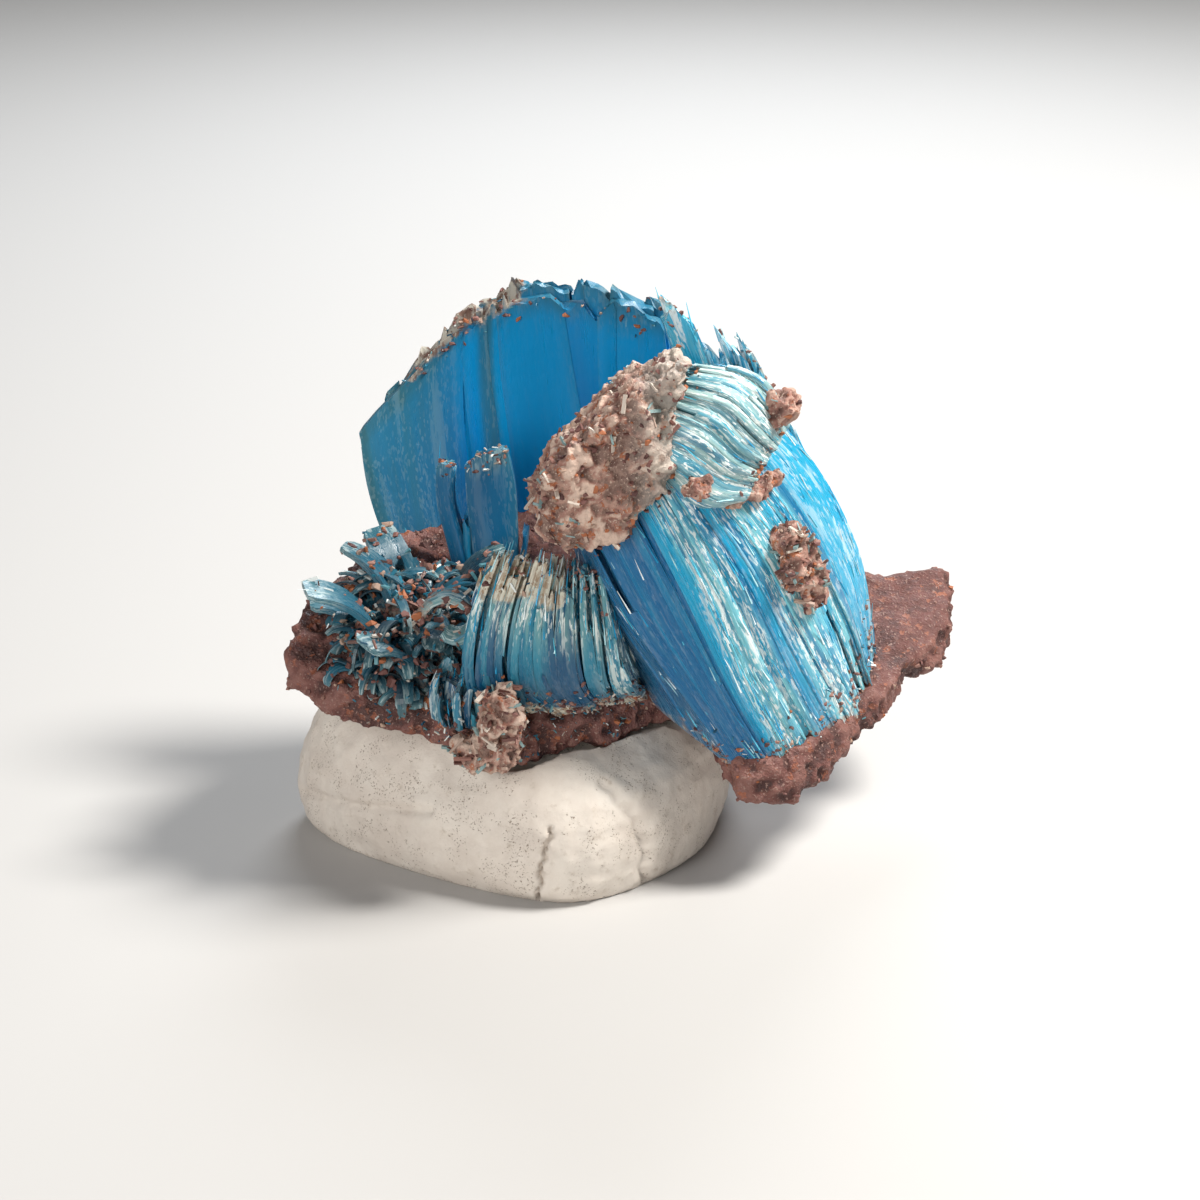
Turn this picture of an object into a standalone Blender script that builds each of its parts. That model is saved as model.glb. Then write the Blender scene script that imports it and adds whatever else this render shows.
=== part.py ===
# Chalcanthite crystal cluster: curved blue crystals on a thin plate of matrix rock,
# which leans on a lump of mounting putty. Sizes are in millimetres until MM turns them into metres.
# The origin is the middle of the putty's flat underside, +Z is up and -Y faces the viewer.

import math
import random

import bmesh
import bpy
from mathutils import Matrix, Vector, noise

MM = 0.001
GAP = 0.3  # clearance that keeps touching pieces apart
SEED = 11

# The plate of matrix rock, seen from above. It rises to the back and falls to the right.
PLATE_OUTLINE = [
    (-13.4, -3.6), (-11.4, -5.2), (-5.5, -6.4), (-2.1, -6.9), (2.2, -4.8), (6.2, -1.4),
    (7.6, -4.0), (8.9, -7.2), (11.4, -6.6), (15.6, -2.0), (20.4, 5.6), (20.6, 9.0), (17.3, 8.0),
    (12.5, 9.4), (7.0, 11.2), (-1.0, 11.6), (-6.0, 9.6), (-8.6, 6.6), (-10.0, 4.2), (-12.6, -0.2),
]
PLATE_THICKNESS = 2.2
PLATE_HEIGHT = 9.5  # of its middle plane, above the origin
PLATE_SLOPE = (-0.15, 0.35)  # rise for each millimetre along X and along Y
PLATE_ROUGHNESS = 0.6

# The putty, as rings of corners from its foot to its top: height, and a share of the foot's outline.
PUTTY_FOOT = [
    (1.0, -9.9), (4.8, -6.6), (7.9, -3.0), (8.6, 2.2), (8.2, 7.6), (2.4, 9.6),
    (-4.6, 8.6), (-9.9, 5.2), (-14.1, 1.4), (-11.0, -3.0), (-5.4, -6.6),
]
PUTTY_RINGS = [(-1.6, 0.93), (1.0, 1.06), (5.3, 1.03)]
PUTTY_CROWN = 0.62  # the top ring's share of the foot
PUTTY_SINK = 0.9  # how deep the rock is pressed into it
PUTTY_LEFT_END = 5.4  # height of the end that stands clear of the rock

# Crystal bundles. Each has guide fibres from root to tip, side by side, that give its front face. A root is a
# spot on the plate (X, Y). "depth" is the way from front to back: (X, Y) at the roots, (X, Y, Z) at the tips.
# "ridge" is how far the crystals stand out and how deep the grooves between them are.
BACK_FAN = {
    "fibres": [
        [(-7.6, 6.0), (-8.1, 6.3, 15.2), (-8.6, 6.3, 18.0), (-8.9, 6.4, 20.6)],
        [(-3.8, 7.6), (-4.2, 8.0, 16.4), (-4.5, 8.2, 20.8), (-4.5, 7.8, 25.2)],
        [(1.2, 8.4), (0.6, 8.8, 16.6), (-0.1, 8.8, 21.4), (-0.5, 8.2, 26.4)],
        [(5.8, 7.6), (5.6, 8.0, 16.0), (5.4, 7.8, 20.6), (5.3, 7.2, 25.2)],
    ],
    "depth": [(0.3, 2.2), (0.1, 1.4, 0.2)],
    "across": 11,
    "tips": (0.93, 1.0),
    "dip": (0.03, 0.16),
    "ridge": (0.35, 0.3),
}
ARCH = {
    "fibres": [
        [(8.9, -6.4), (6.5, -7.0, 9.9), (3.9, -7.0, 13.8), (1.7, -6.4, 18.0)],
        [(11.6, -5.8), (9.2, -7.0, 10.6), (7.0, -7.3, 15.6), (4.3, -6.6, 20.6)],
        [(15.2, -1.6), (12.9, -4.2, 12.0), (9.9, -5.6, 18.0), (5.6, -6.0, 23.6)],
        [(16.4, 2.4), (14.9, 0.0, 15.0), (11.6, -2.0, 21.2), (6.4, -4.6, 26.0)],
    ],
    "depth": [(-4.8, 4.6), (-1.2, 4.2, -0.4)],
    "across": 9,
    "tips": (0.96, 1.0),
    "dip": (0.02, 0.05),
    "ridge": (0.25, 0.3),
}
CREST = {
    "fibres": [
        [(9.2, 3.0), (9.0, 3.2, 14.4), (7.4, 3.3, 20.4), (4.7, 4.0, 27.0)],
        [(11.2, 2.8), (11.2, 2.9, 14.2), (10.2, 2.9, 20.0), (8.4, 3.6, 25.9)],
        [(13.2, 2.4), (13.1, 2.2, 13.6), (12.2, 2.2, 18.4), (10.6, 3.0, 22.6)],
        [(15.2, 2.0), (15.1, 1.5, 11.8), (14.3, 1.6, 15.2), (13.2, 2.0, 18.4)],
    ],
    "depth": [(-1.0, 2.8), (-0.4, 2.2, 0.0)],
    "across": 6,
    "tips": (0.93, 1.0),
    "dip": (0.03, 0.14),
    "ridge": (0.3, 0.3),
}
PAD = {
    "fibres": [
        [(9.0, -6.3, 20.0), (7.6, -7.6, 20.6), (6.2, -7.8, 21.6), (4.4, -7.2, 22.8)],
        [(10.2, -4.8, 21.6), (9.0, -6.2, 23.0), (7.6, -6.4, 24.4), (5.4, -6.0, 25.0)],
        [(11.2, -2.6, 22.4), (10.2, -4.2, 24.8), (8.8, -4.6, 25.9), (6.9, -4.9, 26.3)],
    ],
    "depth": [(-1.6, 1.6, -1.6), (-0.5, 1.6, -0.8)],
    "across": 6,
    "tips": (0.97, 1.0),
    "dip": (0.0, 0.04),
    "ridge": (0.25, 0.2),
}
FRONT_SPRAY = {
    "fibres": [
        [(-3.4, -5.6), (-4.3, -7.6, 11.4), (-3.9, -7.6, 14.6), (-2.9, -6.6, 17.3)],
        [(0.8, -4.6), (-0.8, -7.2, 10.8), (-0.9, -7.4, 14.0), (-0.3, -6.4, 16.8)],
        [(4.6, -2.4), (3.7, -5.8, 10.2), (3.1, -6.2, 13.0), (2.4, -5.6, 15.9)],
    ],
    "depth": [(0.4, 3.0), (0.2, 2.6, -0.2)],
    "across": 7,
    "tips": (0.92, 1.0),
    "dip": (0.04, 0.14),
    "ridge": (0.35, 0.4),
}
FRONT_STUB = {
    "fibres": [
        [(-5.6, -4.8), (-5.8, -6.6, 8.9), (-5.8, -7.0, 10.2), (-5.5, -6.8, 11.4)],
        [(-2.4, -5.4), (-2.6, -7.4, 8.3), (-2.7, -7.8, 9.8), (-2.6, -7.4, 11.2)],
    ],
    "depth": [(0.2, 2.4), (0.2, 2.6, 0.0)],
    "across": 4,
    "tips": (0.9, 1.0),
    "dip": (0.08, 0.2),
    "ridge": (0.3, 0.3),
}
SHORT_BLADES = {
    "fibres": [
        [(-5.2, 3.2), (-5.7, 3.9, 14.0), (-6.0, 4.3, 16.2), (-6.1, 4.6, 18.4)],
        [(-3.4, 3.2), (-3.8, 3.6, 13.8), (-4.2, 3.9, 16.2), (-4.2, 4.0, 18.8)],
        [(-1.4, 3.4), (-1.6, 3.7, 13.8), (-1.9, 3.9, 16.6), (-2.2, 4.0, 19.4)],
    ],
    "depth": [(0.1, 1.3), (0.1, 0.7, 0.0)],
    "across": 5,
    "tips": (0.86, 1.0),
    "dip": (0.06, 0.18),
    "ridge": (0.15, 0.2),
}
ROWS = 5  # steps along a bundle from root to tip

# Curled crystals at the left: foot, leaning, radius of the curl, width, thickness and how far it turns.
CURLS = [
    {"foot": (-8.6, -3.0, 10.8), "lean": (-1.0, -0.35), "radius": 4.1, "width": 3.0, "turn": 82},
    {"foot": (-7.6, -0.4, 11.4), "lean": (-0.9, 0.15), "radius": 4.6, "width": 3.4, "turn": 72},
    {"foot": (-7.2, -4.6, 10.0), "lean": (-0.7, -0.8), "radius": 3.2, "width": 2.8, "turn": 88},
    {"foot": (-6.2, -1.4, 12.2), "lean": (0.35, -0.9), "radius": 2.6, "width": 2.0, "turn": 150},
    {"foot": (-8.0, 1.8, 12.0), "lean": (-0.5, 0.8), "radius": 3.6, "width": 2.6, "turn": 70},
    {"foot": (-4.8, 0.6, 12.0), "lean": (0.9, 0.2), "radius": 2.8, "width": 2.2, "turn": 80},
    {"foot": (-5.4, -3.0, 10.6), "lean": (-0.15, -1.0), "radius": 2.2, "width": 1.8, "turn": 120},
    {"foot": (-9.4, -0.8, 10.6), "lean": (-1.0, -0.1), "radius": 2.4, "width": 2.8, "turn": 95},
]
CURL_THICKNESS = 0.9
CURL_STEPS = 7
SPIKES = {"count": 9, "spread": (3.0, 3.4), "radius": (3.6, 6.0), "width": (1.2, 2.4), "turn": (35, 60)}
MOUND = {"middle": (-7.0, -1.2, 11.8), "size": (7.6, 8.2, 4.4)}

# Matrix left on the crystals: a thick cap on the arch's upper end, and smaller bits. Each is a rough slab that
# stands upright: its middle, its outline across and up from there, its thickness, its turn about Z and roughness.
LUMPS = {
    "matrix_cap": {
        "middle": (2.9, -5.9, 22.0),
        "outline": [
            (-3.7, -3.0), (-3.8, -1.8), (-3.2, 0.0), (-1.5, 1.7), (0.9, 3.9), (3.0, 4.9), (3.5, 4.5),
            (2.5, 2.4), (2.6, 0.9), (2.7, -0.4), (1.7, -1.3), (0.9, -2.4), (0.4, -3.4), (-2.0, -4.2),
        ],
        "thickness": 3.9,
        "turn": 6,
        "roughness": 0.55,
    },
    "matrix_chip_upper": {
        "middle": (10.1, -3.7, 23.5),
        "outline": [
            (-1.1, 0.8), (0.2, 1.3), (1.0, 0.9), (1.5, 0.2), (1.0, -0.4), (-0.2, -0.8), (-1.3, -1.5), (-1.0, -0.3),
        ],
        "thickness": 1.8,
        "turn": -15,
        "roughness": 0.35,
    },
    "matrix_patch_side": {
        "middle": (11.7, -4.8, 16.0),
        "outline": [
            (-1.4, 2.1), (-0.1, 2.3), (0.8, 1.2), (1.3, -0.3), (1.2, -1.7), (0.5, -2.3), (-0.2, -1.3), (-1.0, -0.4),
            (-1.5, 0.6),
        ],
        "thickness": 1.3,
        "turn": 38,
        "roughness": 0.4,
    },
    "matrix_clump_front": {
        "middle": (-2.6, -8.1, 9.2),
        "outline": [
            (-0.8, 1.7), (0.5, 1.9), (1.1, 0.5), (0.9, -1.0), (0.4, -2.0), (-1.2, -2.1), (-2.1, -1.6), (-1.9, -1.0),
            (-0.9, -0.8), (-1.0, 0.3),
        ],
        "thickness": 1.6,
        "turn": 4,
        "roughness": 0.4,
    },
}

COLOURS = {
    "putty": (0.58, 0.54, 0.49),
    "rock": (0.26, 0.13, 0.11),
    "crystal": (0.01, 0.24, 0.55),
    "pale crystal": (0.06, 0.36, 0.48),
}


def clear_scene():
    for obj in list(bpy.data.objects):
        bpy.data.objects.remove(obj, do_unlink=True)


def new_collection(name):
    made = bpy.data.collections.new(name)
    bpy.context.scene.collection.children.link(made)
    return made


def material(name, roughness):
    found = bpy.data.materials.get(name)
    if found:
        return found
    made = bpy.data.materials.new(name)
    made.use_nodes = True
    shader = made.node_tree.nodes["Principled BSDF"]
    shader.inputs["Base Color"].default_value = (*COLOURS[name], 1.0)
    shader.inputs["Roughness"].default_value = roughness
    shader.inputs["Metallic"].default_value = 0.0
    return made


def add_object(name, mesh, collection, finish=None):
    obj = bpy.data.objects.new(name, mesh)
    collection.objects.link(obj)
    if finish:
        mesh.materials.append(finish)
    return obj


def as_helper(obj):
    obj.hide_render = True
    obj.display_type = "WIRE"
    return obj


def scaled_to_metres(mesh):
    mesh.transform(Matrix.Scale(MM, 4))
    return mesh


def through(points, share):
    """A smooth curve through evenly spaced points, at a share of its way from the first to the last."""
    last = len(points) - 1
    at = min(max(share, 0.0), 1.0) * last
    i = min(int(at), last - 1)
    t = at - i + (share - 1.0) * last * (share > 1.0) + share * last * (share < 0.0)
    here, there = Vector(points[i]), Vector(points[i + 1])
    before = Vector(points[i - 1]) if i else here * 2 - there
    after = Vector(points[i + 2]) if i + 2 <= last else there * 2 - here
    bend = 2 * before - 5 * here + 4 * there - after
    twist = 3 * here - before - 3 * there + after
    return here + 0.5 * ((there - before) * t + bend * t * t + twist * t * t * t)


def plate_height(x, y):
    """Height of the plate's middle plane at a spot."""
    return PLATE_HEIGHT + PLATE_SLOPE[0] * x + PLATE_SLOPE[1] * y


def from_plate(fibre):
    """A guide fibre whose root, if it is given as a spot on the plate, has its height."""
    root = fibre[0]
    return [root if len(root) == 3 else (*root, plate_height(*root)), *fibre[1:]]


def depth_steps(bundle):
    """The way from front to back at the roots and at the tips."""
    root, tip = bundle["depth"]
    if len(root) == 2:
        root = (*root, PLATE_SLOPE[0] * root[0] + PLATE_SLOPE[1] * root[1])
    return Vector(root), Vector(tip)


def in_bundle(bundle, along, across, deep):
    """The place in a bundle at shares from root to tip, from its first guide to its last and front to back."""
    face = through([through(from_plate(fibre), along) for fibre in bundle["fibres"]], across)
    root, tip = depth_steps(bundle)
    return face + root.lerp(tip, along) * deep


def closed_mesh(bm, name):
    """The triangulated mesh of a closed shape, turned so that its faces point out."""
    bmesh.ops.triangulate(bm, faces=bm.faces)
    if bm.calc_volume(signed=True) < 0:
        bmesh.ops.reverse_faces(bm, faces=bm.faces)
    mesh = bpy.data.meshes.new(name)
    bm.to_mesh(mesh)
    bm.free()
    return mesh


def columns_of(bundle, seed):
    """The upright lines of a bundle: each crystal has two, and there is a groove at either side of it."""
    dice = random.Random(SEED + seed)
    widths = [dice.uniform(0.6, 1.4) for _ in range(bundle["across"])]
    stand_out, groove_depth = bundle["ridge"]
    columns = [{"at": 0.0, "front": 0.0, "back": 0.0, "tip": dice.uniform(*bundle["tips"]) - 0.03}]
    at = 0.0
    for width in widths:
        share = width / sum(widths)
        tip = dice.uniform(*bundle["tips"])
        for part in (dice.uniform(0.12, 0.3), dice.uniform(0.62, 0.85)):
            front, back = dice.uniform(0, stand_out), dice.uniform(0, stand_out)
            lower = dice.uniform(0.0, 0.03)
            columns.append({"at": at + share * part, "front": front, "back": back, "tip": tip - lower})
        at += share
        groove = -dice.uniform(0.2, 1.0) * groove_depth
        columns.append({"at": at, "front": groove, "back": groove, "tip": tip - dice.uniform(*bundle["dip"])})
    return columns


def bundle_mesh(bundle, seed, grow=0.0):
    """A bundle of crystals grown side by side, as one solid with ridges, grooves and uneven tips.

    grow makes it larger all round by that many millimetres."""
    columns = columns_of(bundle, seed)
    last = len(columns) - 1
    root_step, tip_step = depth_steps(bundle)
    wide = (in_bundle(bundle, 0.5, 1.0, 0.5) - in_bundle(bundle, 0.5, 0.0, 0.5)).length
    long = (in_bundle(bundle, 1.0, 0.5, 0.5) - in_bundle(bundle, 0.0, 0.5, 0.5)).length
    bm = bmesh.new()
    bmesh.ops.create_cube(bm, size=1.0, matrix=Matrix.Translation((0.5, 0.5, 0.5)))
    level = [e for e in bm.edges if abs(e.verts[0].co.x - e.verts[1].co.x) > 0.5]
    bmesh.ops.subdivide_edges(bm, edges=level, cuts=last - 1)
    upright = [e for e in bm.edges if abs(e.verts[0].co.z - e.verts[1].co.z) > 0.5]
    bmesh.ops.subdivide_edges(bm, edges=upright, cuts=ROWS - 1)
    for vert in bm.verts:
        column = columns[round(vert.co.x * last)]
        up = vert.co.z
        across = column["at"] + (grow / wide) * (2 * column["at"] - 1)
        deep = root_step.lerp(tip_step, up).length
        push = (column["back"] if vert.co.y > 0.5 else column["front"]) + grow
        along = up * (column["tip"] + 2 * grow / long) - grow / long
        vert.co = in_bundle(bundle, along, across, vert.co.y + (push / deep) * (1 if vert.co.y > 0.5 else -1))
    return closed_mesh(bm, "bundle")


def curl_mesh(curl, grow):
    """A ribbon that stands on its foot, leans the way it is told and rolls over towards its tip."""
    foot = Vector(curl["foot"])
    lean = Vector((*curl["lean"], 0.0)).normalized()
    side = Vector((-lean.y, lean.x, 0.0))
    bm = bmesh.new()
    bmesh.ops.create_cube(bm, size=1.0, matrix=Matrix.Translation((0.0, 0.0, 0.5)))
    uprights = [e for e in bm.edges if abs(e.verts[0].co.z - e.verts[1].co.z) > 0.5]
    bmesh.ops.subdivide_edges(bm, edges=uprights, cuts=CURL_STEPS - 1)
    for vert in bm.verts:
        x, y, z = vert.co
        angle = math.radians(curl["turn"]) * z
        radius = curl["radius"]
        narrow = 1.0 - 0.35 * z
        spine = foot + lean * radius * (1 - math.cos(angle)) + Vector((0, 0, 1)) * radius * math.sin(angle)
        out = -lean * math.cos(angle) + Vector((0, 0, 1)) * math.sin(angle)
        thick = CURL_THICKNESS * narrow + 2 * grow
        vert.co = spine + side * x * (curl["width"] * narrow + 2 * grow) + out * y * thick
    return closed_mesh(bm, "curl")


def spikes():
    """Smaller blades that stand on the mound and lean outwards from its middle."""
    dice = random.Random(SEED)
    middle = Vector(MOUND["middle"])
    made = []
    for index in range(SPIKES["count"]):
        angle = math.tau * (index + dice.uniform(-0.3, 0.3)) / SPIKES["count"]
        out = Vector((math.cos(angle), math.sin(angle), 0.0))
        reach = dice.uniform(0.3, 0.9)
        foot = middle + Vector((out.x * SPIKES["spread"][0], out.y * SPIKES["spread"][1], 0.0)) * reach
        foot.z = plate_height(foot.x, foot.y) + 1.2
        sizes = {key: dice.uniform(*SPIKES[key]) for key in ("radius", "width", "turn")}
        made.append({"foot": foot, "lean": (out.x, out.y), **sizes})
    return made


def mound_mesh(grow):
    """The crust that the curled crystals grow out of, on the plate's slope."""
    bm = bmesh.new()
    bmesh.ops.create_icosphere(bm, subdivisions=2, radius=0.5)
    middle, size = Vector(MOUND["middle"]), Vector(MOUND["size"])
    for vert in bm.verts:
        bump = 1.0 + 0.16 * noise.noise(vert.co * 5)
        spot = Vector(s * (c * bump) for s, c in zip(size + Vector((2 * grow,) * 3), vert.co))
        spot.z += PLATE_SLOPE[0] * spot.x + PLATE_SLOPE[1] * spot.y
        vert.co = middle + spot
    mesh = bpy.data.meshes.new("mound")
    bm.to_mesh(mesh)
    bm.free()
    return mesh


def boolean(obj, name, operation, collection=None, other=None):
    modifier = obj.modifiers.new(name, "BOOLEAN")
    modifier.operation = operation
    modifier.solver = "EXACT"
    if collection:
        modifier.operand_type = "COLLECTION"
        modifier.collection = collection
    else:
        modifier.object = other
    return modifier


def joined(name, meshes, parts, cutters, finish):
    """One object that is the union of these meshes. The first is the object and the others are hidden helpers."""
    for mesh in meshes:
        scaled_to_metres(mesh)
    body = add_object(name, meshes[0], parts, finish)
    if len(meshes) > 1:
        rest = bpy.data.collections.new(name + " rest")
        cutters.children.link(rest)
        for index, mesh in enumerate(meshes[1:]):
            as_helper(add_object(f"{name}_{index}", mesh, rest))
        boolean(body, "join", "UNION", collection=rest).use_self = True
    return body


def envelope(name, meshes, cutters):
    """Hidden helpers, a little larger than a bundle, that keep its neighbours clear of it."""
    made = bpy.data.collections.new(name + " envelope")
    cutters.children.link(made)
    for index, mesh in enumerate(meshes):
        as_helper(add_object(f"{name}_envelope_{index}", scaled_to_metres(mesh), made))
    return made


def settled(obj):
    """The object with its modifiers worked out for good."""
    bpy.context.view_layer.update()
    obj.data = bpy.data.meshes.new_from_object(obj.evaluated_get(bpy.context.evaluated_depsgraph_get()))
    obj.modifiers.clear()
    return obj


def keep_largest(mesh):
    """Drops the crumbs that come off a mesh when it is cut down."""
    bm = bmesh.new()
    bm.from_mesh(mesh)
    waiting = set(bm.verts)
    groups = []
    while waiting:
        group = [waiting.pop()]
        for vert in group:
            near = {edge.other_vert(vert) for edge in vert.link_edges} & waiting
            waiting -= near
            group.extend(near)
        groups.append(group)
    groups.sort(key=len)
    bmesh.ops.delete(bm, geom=[vert for group in groups[:-1] for vert in group], context="VERTS")
    bm.to_mesh(mesh)
    bm.free()


def roughen(obj, voxel, size, strength, faces, seed):
    """Broken stone: an even skin, pushed in and out by a cloud pattern and then cut down to flat facets."""
    skin = obj.modifiers.new("skin", "REMESH")
    skin.mode = "VOXEL"
    skin.voxel_size = voxel * MM
    mesh = settled(obj).data
    shift = Vector((seed, 2.0 * seed, 3.0 * seed))
    for vert in mesh.vertices:
        spot = vert.co / MM
        push = noise.noise(spot / size + shift) + 0.5 * noise.noise(spot * 2.3 / size - shift)
        vert.co += vert.normal * push * strength * MM
    skin = obj.modifiers.new("even skin", "REMESH")
    skin.mode = "VOXEL"
    skin.voxel_size = 0.9 * voxel * MM
    mesh = settled(obj).data
    cut = obj.modifiers.new("facets", "DECIMATE")
    cut.ratio = min(1.0, faces / (2 * len(mesh.polygons)))
    keep_largest(settled(obj).data)
    return obj


def outline_mesh(points, thickness):
    """A flat outline with a thickness, made as a 2D curve and turned into a closed mesh."""
    curve = bpy.data.curves.new("outline", "CURVE")
    curve.dimensions = "2D"
    curve.fill_mode = "BOTH"
    curve.extrude = thickness / 2 * MM
    spline = curve.splines.new("POLY")
    spline.points.add(len(points) - 1)
    for point, (x, y) in zip(spline.points, points):
        point.co = (x * MM, y * MM, 0.0, 1.0)
    spline.use_cyclic_u = True
    helper = add_object("outline", curve, bpy.context.scene.collection)
    bpy.context.view_layer.update()
    mesh = bpy.data.meshes.new_from_object(helper.evaluated_get(bpy.context.evaluated_depsgraph_get()))
    bpy.data.objects.remove(helper, do_unlink=True)
    bm = bmesh.new()
    bm.from_mesh(mesh)
    bmesh.ops.remove_doubles(bm, verts=bm.verts, dist=0.01 * MM)
    bm.to_mesh(mesh)
    bm.free()
    return mesh


def add_matrix_rock(parts):
    mesh = outline_mesh(PLATE_OUTLINE, PLATE_THICKNESS)
    rock = add_object("matrix_rock", mesh, parts)
    roughen(rock, 0.45, 3.6, PLATE_ROUGHNESS, 860, 5)
    for vert in rock.data.vertices:
        vert.co.z += plate_height(vert.co.x / MM, vert.co.y / MM) * MM
    rock.data.materials.append(material("rock", 0.85))
    return rock


def add_lump(name, parts):
    lump = LUMPS[name]
    mesh = outline_mesh(lump["outline"], lump["thickness"])
    upright = Matrix.Rotation(math.radians(lump["turn"]), 4, "Z") @ Matrix.Rotation(math.radians(90), 4, "X")
    mesh.transform(Matrix.Translation(Vector(lump["middle"]) * MM) @ upright)
    obj = add_object(name, mesh, parts)
    height = max(up for _, up in lump["outline"]) - min(up for _, up in lump["outline"])
    roughen(obj, max(0.2, height / 36), height / 4, lump["roughness"], 60 + int(25 * height), height)
    obj.data.materials.append(material("rock", 0.85))
    return obj


def grown(obj, cutters, voxel, faces):
    """A hidden copy that stands a little proud of the piece all round, with an even skin."""
    copy = as_helper(add_object(obj.name + "_clearance", obj.data.copy(), cutters))
    swell = copy.modifiers.new("swell", "DISPLACE")
    swell.strength = 1.5 * GAP * MM
    swell.mid_level = 0.0
    skin = copy.modifiers.new("skin", "REMESH")
    skin.mode = "VOXEL"
    skin.voxel_size = voxel * MM
    mesh = settled(copy).data
    cut = copy.modifiers.new("facets", "DECIMATE")
    cut.ratio = min(1.0, faces / (2 * len(mesh.polygons)))
    return settled(copy)


def add_putty(parts, cutters, rock_clearance):
    """A soft lump: rings of corners, smoothed, with a flat foot and the rock's print in its top."""
    middle = Vector((sum(x for x, _ in PUTTY_FOOT), sum(y for _, y in PUTTY_FOOT), 0)) / len(PUTTY_FOOT)
    bm = bmesh.new()
    rings = []
    for height, share in PUTTY_RINGS:
        ring = [middle + (Vector((x, y, 0)) - middle) * share + Vector((0, 0, height)) for x, y in PUTTY_FOOT]
        rings.append([bm.verts.new(p) for p in ring])
    crown = []
    for x, y in PUTTY_FOOT:
        spot = middle + (Vector((x, y, 0)) - middle) * PUTTY_CROWN
        under_rock = plate_height(spot.x, spot.y) - PLATE_THICKNESS / 2 + PUTTY_SINK
        spot.z = max(PUTTY_LEFT_END, under_rock)
        crown.append(bm.verts.new(spot))
    rings.append(crown)
    for low, high in zip(rings, rings[1:]):
        for i in range(len(low)):
            j = (i + 1) % len(low)
            bm.faces.new((low[i], low[j], high[j], high[i]))
    bm.faces.new(reversed(rings[0]))
    top = bm.verts.new(middle + Vector((0, 0, plate_height(middle.x, middle.y) - PLATE_THICKNESS / 2 + PUTTY_SINK)))
    for i in range(len(crown)):
        bm.faces.new((crown[i], crown[(i + 1) % len(crown)], top))
    bmesh.ops.recalc_face_normals(bm, faces=bm.faces)
    mesh = bpy.data.meshes.new("mounting_putty")
    bm.to_mesh(mesh)
    bm.free()
    putty = add_object("mounting_putty", scaled_to_metres(mesh), parts, material("putty", 0.7))
    soft = putty.modifiers.new("soft", "SUBSURF")
    soft.levels = soft.render_levels = 2
    bm = bmesh.new()
    bmesh.ops.create_cube(bm, size=40.0, matrix=Matrix.Translation((0, 0, -20)))
    floor_mesh = bpy.data.meshes.new("table")
    bm.to_mesh(floor_mesh)
    bm.free()
    table = as_helper(add_object("table_cutter", scaled_to_metres(floor_mesh), cutters))
    boolean(putty, "flat foot", "DIFFERENCE", other=table)
    boolean(putty, "rock print", "DIFFERENCE", other=rock_clearance)
    return putty


def add_crystals(parts, cutters):
    """The bundles, each one joined solid. Where two meet, the one named later gives way."""
    deep_blue = material("crystal", 0.25)
    teal = material("pale crystal", 0.35)
    curls = [mound_mesh(0.0)] + [curl_mesh(curl, 0.0) for curl in CURLS + spikes()]
    made = {
        "arched_crystals": ([bundle_mesh(ARCH, 1), bundle_mesh(CREST, 2), bundle_mesh(PAD, 3)], deep_blue),
        "back_fan_crystals": ([bundle_mesh(BACK_FAN, 4)], deep_blue),
        "front_spray_crystals": ([bundle_mesh(FRONT_SPRAY, 5), bundle_mesh(FRONT_STUB, 6)], teal),
        "short_blade_crystals": ([bundle_mesh(SHORT_BLADES, 7)], teal),
        "curled_crystals": (curls, teal),
    }
    made = {name: joined(name, meshes, parts, cutters, finish) for name, (meshes, finish) in made.items()}
    around_arch = envelope("arch", [bundle_mesh(ARCH, 1, GAP), bundle_mesh(CREST, 2, GAP)], cutters)
    around_fan = envelope("fan", [bundle_mesh(BACK_FAN, 4, GAP)], cutters)
    around_spray = envelope("spray", [bundle_mesh(FRONT_SPRAY, 5, GAP), bundle_mesh(FRONT_STUB, 6, GAP)], cutters)
    around_blades = envelope("blades", [bundle_mesh(SHORT_BLADES, 7, GAP)], cutters)
    boolean(made["back_fan_crystals"], "clear of arch", "DIFFERENCE", collection=around_arch)
    boolean(made["front_spray_crystals"], "clear of arch", "DIFFERENCE", collection=around_arch)
    boolean(made["short_blade_crystals"], "clear of fan", "DIFFERENCE", collection=around_fan)
    boolean(made["curled_crystals"], "clear of spray", "DIFFERENCE", collection=around_spray)
    boolean(made["curled_crystals"], "clear of blades", "DIFFERENCE", collection=around_blades)
    return made


def main():
    clear_scene()
    parts = new_collection("chalcanthite crystal cluster")
    cutters = new_collection("cutters")
    rock = add_matrix_rock(parts)
    rock_clearance = grown(rock, cutters, 0.45, 900)
    add_putty(parts, cutters, rock_clearance)
    lumps = {name: add_lump(name, parts) for name in LUMPS}
    boolean(lumps["matrix_clump_front"], "clear of rock", "DIFFERENCE", other=rock_clearance)
    crystals = add_crystals(parts, cutters)
    for body in crystals.values():
        boolean(body, "clear of rock", "DIFFERENCE", other=rock_clearance)
    for name, lump in lumps.items():
        clearance = grown(lump, cutters, 0.25, 260)
        owner = "front_spray_crystals" if name == "matrix_clump_front" else "arched_crystals"
        boolean(crystals[owner], "clear of " + name, "DIFFERENCE", other=clearance)


main()
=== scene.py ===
# Chalcanthite crystal cluster on its matrix plate and mounting putty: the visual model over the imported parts

import math
import random

import bmesh
import bpy
import numpy as np
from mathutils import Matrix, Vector, noise


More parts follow.
